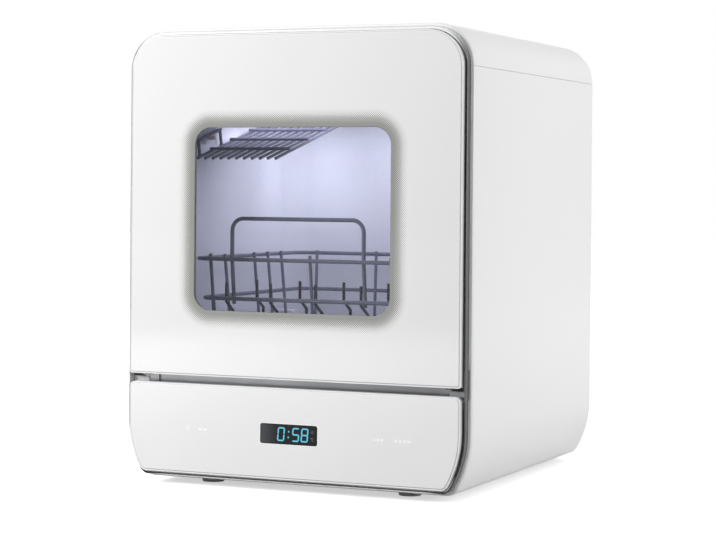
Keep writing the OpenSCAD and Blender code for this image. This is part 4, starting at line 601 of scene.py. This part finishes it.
# 1.2 mm holes on a 2.4 mm pitch: the distance from the middle of each cell of the hole pattern
hole_pitch = 0.0024
cells = put(filter_tree, "ShaderNodeVectorMath", {0: place, 1: (hole_pitch, hole_pitch, 1.0)},
            operation="DIVIDE")
wrapped = put(filter_tree, "ShaderNodeVectorMath", {0: cells.outputs[0], 1: (1.0, 1.0, 1.0)},
              operation="MODULO")
centred = put(filter_tree, "ShaderNodeVectorMath", {0: wrapped.outputs[0]}, operation="ABSOLUTE")
middle = put(filter_tree, "ShaderNodeVectorMath", {0: centred.outputs[0], 1: (0.5, 0.5, 0.0)},
             operation="SUBTRACT")
flat = put(filter_tree, "ShaderNodeVectorMath", {0: middle.outputs[0], 1: (1.0, 1.0, 0.0)},
           operation="MULTIPLY")
away = put(filter_tree, "ShaderNodeVectorMath", {0: flat.outputs[0]}, operation="LENGTH")
hole = put(filter_tree, "ShaderNodeMapRange", {"Value": away.outputs["Value"],
                                               "From Min": 0.24, "From Max": 0.28})
steel_tint = put(filter_tree, "ShaderNodeMix", {"Factor": hole.outputs["Result"],
                                                6: linear("#1d1e20"), 7: linear("#b8babd")},
                 data_type="RGBA")
steel_rough = put(filter_tree, "ShaderNodeMapRange", {"Value": brushed.outputs["Fac"],
                                                      "To Min": 0.22, "To Max": 0.4})
steel_bump = put(filter_tree, "ShaderNodeBump", {"Height": brushed.outputs["Fac"], "Distance": 0.00001})
steel_skin = put(filter_tree, "ShaderNodeBsdfPrincipled", {"Base Color": steel_tint.outputs[2],
                 "Metallic": 1.0, "Roughness": steel_rough.outputs["Result"],
                 "Normal": steel_bump.outputs["Normal"]})
put(filter_tree, "ShaderNodeOutputMaterial", {"Surface": steel_skin.outputs["BSDF"]})
dress(filter_sheet, "filter_plate")
dress(grey_pp, "filter_cup")

# Spray arm on its post, fill funnel, float, detergent box and glide shoes: white polypropylene.
arm_pp = surfaced("white_polypropylene_arm", "#e4e6ea", "#dcdee3", 0.38, 0.05, 1.5, 0.02, 25.0,
                  IOR=1.49)
dress(arm_pp, "spray_arm", "spray_post", "spray_cap", "fill_funnel", "level_float", "dispenser_box",
      "dispenser_lid", "basket_shoes")

# Hoses and heater: ribbed EPDM hoses and elbows, and a flow heater in a stainless tube.
hose_rubber = surfaced("black_epdm_hose", "#222326", "#1a1b1d", 0.6, 0.06, 0.9, 0.02, 15.0, IOR=1.5)
dress(hose_rubber, "hose_elbows", "feed_hose", "drain_hose")
heater_steel = surfaced("stainless_heater_tube", "#b4b5b7", "#a2a3a5", 0.3, 0.06, 0.6, 0.005, 12.0,
                        Metallic=1.0)
dress(heater_steel, "flow_heater")

# Water tank: blow-moulded milky polypropylene behind the tub.
tank_pp = surfaced("milky_polypropylene", "#c7d2de", "#bcc8d6", 0.4, 0.05, 2.0, 0.02, 60.0,
                   **{"IOR": 1.49, "Subsurface Weight": 0.1})
dress(tank_pp, "water_tank")

# Lamp: a frosted cover in the roof of the tub with cool violet-white diodes behind it.
lamp_cover, lamp_tree = blank("frosted_lamp_cover")
lamp_skin = put(lamp_tree, "ShaderNodeBsdfPrincipled", {"Base Color": linear("#e6e8ff"), "Roughness": 0.4,
                "Emission Color": linear("#e4e4ff"), "Emission Strength": 3.0})
put(lamp_tree, "ShaderNodeOutputMaterial", {"Surface": lamp_skin.outputs["BSDF"]})
dress(lamp_cover, "lamp_lens")

# Door glass: toughened glass printed white on its back round a clear window. The print ends in a
# solid grey line and a field of dots that shrink outwards over 14 mm, which hides the glue.
window = (-0.1015, 0.1695, 0.1015, 0.344)
window_r = 0.017


def door_outline(s):
    """Large radii above, small ones below, drawn in by s."""
    r, low, half, z0, z1 = 0.034 - s, 0.0025, 0.172 - s, 0.1066 + s, 0.433 - s
    below = arc(half - low, z0 + low, low, -90, 0, 6), arc(-half + low, z0 + low, low, 180, 270, 6)
    above = arc(half - r, z1 - r, r, 0, 90, 24), arc(-half + r, z1 - r, r, 90, 180, 24)
    return filled_in(np.concatenate([below[0], *above, below[1]]))


frit, frit_tree = blank("white_printed_door_glass")
spot = put(frit_tree, "ShaderNodeTexCoord").outputs["Object"]
centre_z, half_x = (window[1] + window[3]) / 2, window[2] - window_r
half_z = (window[3] - window[1]) / 2 - window_r
# distance outside the rounded window: length of what lies beyond its inner rectangle, less the radius
shifted = put(frit_tree, "ShaderNodeVectorMath", {0: spot, 1: (0.0, 0.0, centre_z)}, operation="SUBTRACT")
folded = put(frit_tree, "ShaderNodeVectorMath", {0: shifted.outputs[0]}, operation="ABSOLUTE")
beyond = put(frit_tree, "ShaderNodeVectorMath", {0: folded.outputs[0], 1: (half_x, 1.0, half_z)},
             operation="SUBTRACT")
clipped = put(frit_tree, "ShaderNodeVectorMath", {0: beyond.outputs[0], 1: (0.0, 0.0, 0.0)},
              operation="MAXIMUM")
reach = put(frit_tree, "ShaderNodeVectorMath", {0: clipped.outputs[0]}, operation="LENGTH")
margin = put(frit_tree, "ShaderNodeMath", {0: reach.outputs["Value"], 1: window_r}, operation="SUBTRACT")
# halftone screen turned 45 degrees: cos(2 pi (x + z)/p) + cos(2 pi (x - z)/p) against a threshold that
# rises with the distance, so solid print opens into holes and ends in dots; p is 2.05 mm
screen_pitch = 0.00205
turned = []
for sign in (1.0, -1.0):
    way = (1 / screen_pitch, 0.0, sign / screen_pitch)
    ways = put(frit_tree, "ShaderNodeVectorMath", {0: shifted.outputs[0], 1: way}, operation="DOT_PRODUCT")
    phase = put(frit_tree, "ShaderNodeMath", {0: ways.outputs["Value"], 1: 2 * np.pi},
                operation="MULTIPLY")
    turned.append(put(frit_tree, "ShaderNodeMath", {0: phase.outputs[0]}, operation="COSINE").outputs[0])
screen = put(frit_tree, "ShaderNodeMath", {0: turned[0], 1: turned[1]}, operation="ADD")
solid_to, dots_to = 0.0032, 0.0176
level = put(frit_tree, "ShaderNodeMapRange", {"Value": margin.outputs[0], "From Min": solid_to,
                                              "From Max": dots_to, "To Min": -2.1, "To Max": 2.1},
            clamp=False)
above = put(frit_tree, "ShaderNodeMath", {0: screen.outputs[0], 1: level.outputs["Result"]},
            operation="SUBTRACT")
grey_part = put(frit_tree, "ShaderNodeMapRange", {"Value": above.outputs[0],
                                                  "From Min": -0.35, "From Max": 0.35})
drift = put(frit_tree, "ShaderNodeTexNoise", {"Vector": spot, "Scale": 6.0, "Detail": 2.0})
white = put(frit_tree, "ShaderNodeMix", {"Factor": drift.outputs["Fac"], 6: linear("#ebebeb"),
                                         7: linear("#e9e9e9")}, data_type="RGBA")
print_tint = put(frit_tree, "ShaderNodeMix", {"Factor": grey_part.outputs["Result"],
                                              6: white.outputs[2], 7: linear("#90918d")},
                 data_type="RGBA")
door_skin = put(frit_tree, "ShaderNodeBsdfPrincipled", {"Base Color": print_tint.outputs[2],
                "Roughness": 0.07, "IOR": 1.52, "Coat Weight": 0.6, "Coat Roughness": 0.03})
put(frit_tree, "ShaderNodeOutputMaterial", {"Surface": door_skin.outputs["BSDF"]})
centre = np.array([0.0, centre_z])
hole = box_outline(*window, window_r)
printed = sheet_with_hole("printed", door_outline(glass_inset), hole, centre, glass_front, glass_back,
                          glass_bevel)
settle("door_glass_printed", [printed], frit, "door", ["door_glass"])

# Clear window: the unprinted middle of the same sheet, flush with the print all round.
clear, clear_tree = blank("clear_toughened_glass")
pass_on = put(clear_tree, "ShaderNodeBsdfTransparent", {"Color": linear("#fbfbfb")})
mirror_on = put(clear_tree, "ShaderNodeBsdfGlossy", {"Color": (1, 1, 1, 1), "Roughness": 0.02})
# a low IOR keeps the mirror image weak, so that the lit chamber stays in sight
at_edge = put(clear_tree, "ShaderNodeFresnel", {"IOR": 1.25})
# only the faces turned to the eye reflect, since light that leaves the pane isn't bent here
side_of_face = put(clear_tree, "ShaderNodeNewGeometry").outputs["Backfacing"]
outside = put(clear_tree, "ShaderNodeMath", {0: 1.0, 1: side_of_face}, operation="SUBTRACT")
mirror_share = put(clear_tree, "ShaderNodeMath", {0: at_edge.outputs["Fac"], 1: outside.outputs[0]},
                   operation="MULTIPLY")
glazed = put(clear_tree, "ShaderNodeMixShader", {"Fac": mirror_share.outputs[0],
                                                 1: pass_on.outputs["BSDF"],
                                                 2: mirror_on.outputs["BSDF"]})
put(clear_tree, "ShaderNodeOutputMaterial", {"Surface": glazed.outputs["Shader"]})
# rings of the outline shrunk to the centre, out over the front and back in over the back
shrunk = [centre + (hole - centre) * share for share in np.linspace(0, 1, 5)]
rows = [at_depth(ring_points, glass_front) for ring_points in shrunk]
rows += [at_depth(ring_points, glass_back) for ring_points in shrunk[::-1]]
settle("door_glass_window", [skin_mesh("window", np.stack(rows))], clear, "door",
       smooth=False)
dress(clear, "inner_pane")

# Door liner: white polypropylene tray that plugs the mouth of the tub.
liner_pp = surfaced("white_polypropylene_liner", "#e3e5eb", "#dcdfe6", 0.36, 0.04, 2.0, 0.02, 40.0,
                    IOR=1.49)
dress(liner_pp, "door_liner")

# Basket, tines and upper shelf: welded steel wire in a thick nylon coat, slate grey on the basket
# and shelf, nearly black on the tines. The coat is satin and pools slightly at the welds.
slate_coat = surfaced("slate_nylon_coat", "#6d7080", "#636676", 0.42, 0.05, 1.0, 0.01, 14.0, IOR=1.53)
dress(slate_coat, "basket", "upper_shelf")
dark_coat = surfaced("dark_nylon_coat", "#34363f", "#2c2e36", 0.42, 0.05, 1.0, 0.01, 14.0, IOR=1.53)
dress(dark_coat, "plate_tines")

# Studio: a wide pale floor, three soft boxes, a fill from the world, and lamps inside the tub.
# The camera and the mirror images see the floor and the sky as plain white.


def seen_rays(tree):
    """1 for camera rays and for what they meet in a mirror or behind glass, else 0."""
    rays = put(tree, "ShaderNodeLightPath").outputs
    mirrored = put(tree, "ShaderNodeMath", {0: rays["Is Glossy Ray"], 1: rays["Is Transmission Ray"]},
                   operation="MAXIMUM")
    return put(tree, "ShaderNodeMath", {0: rays["Is Camera Ray"], 1: mirrored.outputs[0]},
               operation="MAXIMUM").outputs[0]


floor_mat, floor_tree = blank("pale_floor")
seen = seen_rays(floor_tree)
# light that the floor throws back on the object comes from the darker tone
tone = put(floor_tree, "ShaderNodeMix", {"Factor": seen, 6: linear("#808080"), 7: linear("#f4f4f4")},
           data_type="RGBA")
# far from the object, where the lamps fade, the floor glows more for seen rays so that it stays white
floor_place = put(floor_tree, "ShaderNodeTexCoord").outputs["Object"]
far = put(floor_tree, "ShaderNodeVectorMath", {0: floor_place}, operation="LENGTH")
far_lift = put(floor_tree, "ShaderNodeMapRange", {"Value": far.outputs["Value"], "From Min": 0.7,
                                                  "From Max": 2.0, "To Min": 0.55, "To Max": 0.95})
lift = put(floor_tree, "ShaderNodeMath", {0: seen, 1: far_lift.outputs["Result"]}, operation="MULTIPLY")
matt = put(floor_tree, "ShaderNodeBsdfDiffuse", {"Color": tone.outputs[2]})
glow = put(floor_tree, "ShaderNodeEmission", {"Color": (1, 1, 1, 1), "Strength": lift.outputs[0]})
both = put(floor_tree, "ShaderNodeAddShader", {0: matt.outputs["BSDF"], 1: glow.outputs["Emission"]})
put(floor_tree, "ShaderNodeOutputMaterial", {"Surface": both.outputs["Shader"]})
reach_m = 9.0
floor_grid = np.array([[(-reach_m, -reach_m, 0), (-reach_m, reach_m, 0)],
                       [(reach_m, -reach_m, 0), (reach_m, reach_m, 0)]])
floor = bpy.data.objects.new("floor", skin_mesh("floor", floor_grid, closed_v=False))
floor.data.materials.append(floor_mat)
bpy.context.scene.collection.objects.link(floor)


def soft_box(name, place, aim, size, watts, colour="#ffffff"):
    """Rectangular area lamp at a place, pointed at another."""
    lamp = bpy.data.lights.new(name, "AREA")
    lamp.shape, lamp.size, lamp.size_y, lamp.energy = "RECTANGLE", size[0], size[1], watts
    lamp.color = linear(colour)[:3]
    holder = bpy.data.objects.new(name, lamp)
    holder.location = place
    holder.rotation_mode = "QUATERNION"
    holder.rotation_quaternion = (Vector(aim) - Vector(place)).to_track_quat("-Z", "Y")
    bpy.context.scene.collection.objects.link(holder)
    return holder


# key from the front left, a weaker fill on the right side, a third lamp for back and top; in the
# tub one lamp under the ceiling and two small glows that lift the back corner and the ceiling
violet_white = "#f0eeff"
key_left = soft_box("key_left", (-1.3, -1.5, 1.1), (0, 0, 0.25), (1.2, 1.2), 48)
soft_box("fill_right", (1.6, 0.15, 0.6), (0.1, 0, 0.3), (0.9, 0.9), 15.0)
back_light = soft_box("back_light", (-1.0, 2.4, 0.9), (0, 0, 0.25), (1.4, 1.4), 32)
tub_lamp = soft_box("tub_lamp", (-0.03, 0.03, 0.3605), (-0.03, 0.06, 0.1), (0.22, 0.15), 0.45,
                    violet_white)
corner_glow = soft_box("corner_glow", (-0.100, 0.075, 0.300), (-0.142, 0.128, 0.272), (0.03, 0.08),
                       0.018, violet_white)
roof_glow = soft_box("roof_glow", (0.035, 0.050, 0.315), (0.055, 0.120, 0.362), (0.09, 0.04),
                     0.022, violet_white)
# the smooth glass and the casing show the pale room in their gloss, not the outlines of the lamps
for unseen in (key_left, back_light, tub_lamp, corner_glow, roof_glow):
    unseen.visible_camera = unseen.visible_glossy = False

world = bpy.data.worlds.new("studio")
bpy.context.scene.world = world
world.use_nodes = True
world.node_tree.nodes.clear()
sky_level = put(world.node_tree, "ShaderNodeMapRange", {"Value": seen_rays(world.node_tree),
                                                        "To Min": 0.33, "To Max": 1.0})
sky = put(world.node_tree, "ShaderNodeBackground", {"Color": (1, 1, 1, 1),
                                                    "Strength": sky_level.outputs["Result"]})
put(world.node_tree, "ShaderNodeOutputWorld", {"Surface": sky.outputs["Background"]})

# the focal length, the shift, the place and the turns of the camera are those fitted to the photo
lens = bpy.data.cameras.new("camera")
lens.lens, lens.sensor_width, lens.shift_y = 105.343, 36.0, -0.11564
camera = bpy.data.objects.new("camera", lens)
camera.location = (0.85115, -1.95674, 0.28826)
camera.rotation_euler = np.radians([90.0, -0.4926, 23.8244])
bpy.context.scene.collection.objects.link(camera)
bpy.context.scene.camera = camera
bpy.context.scene.view_settings.view_transform = "Standard"
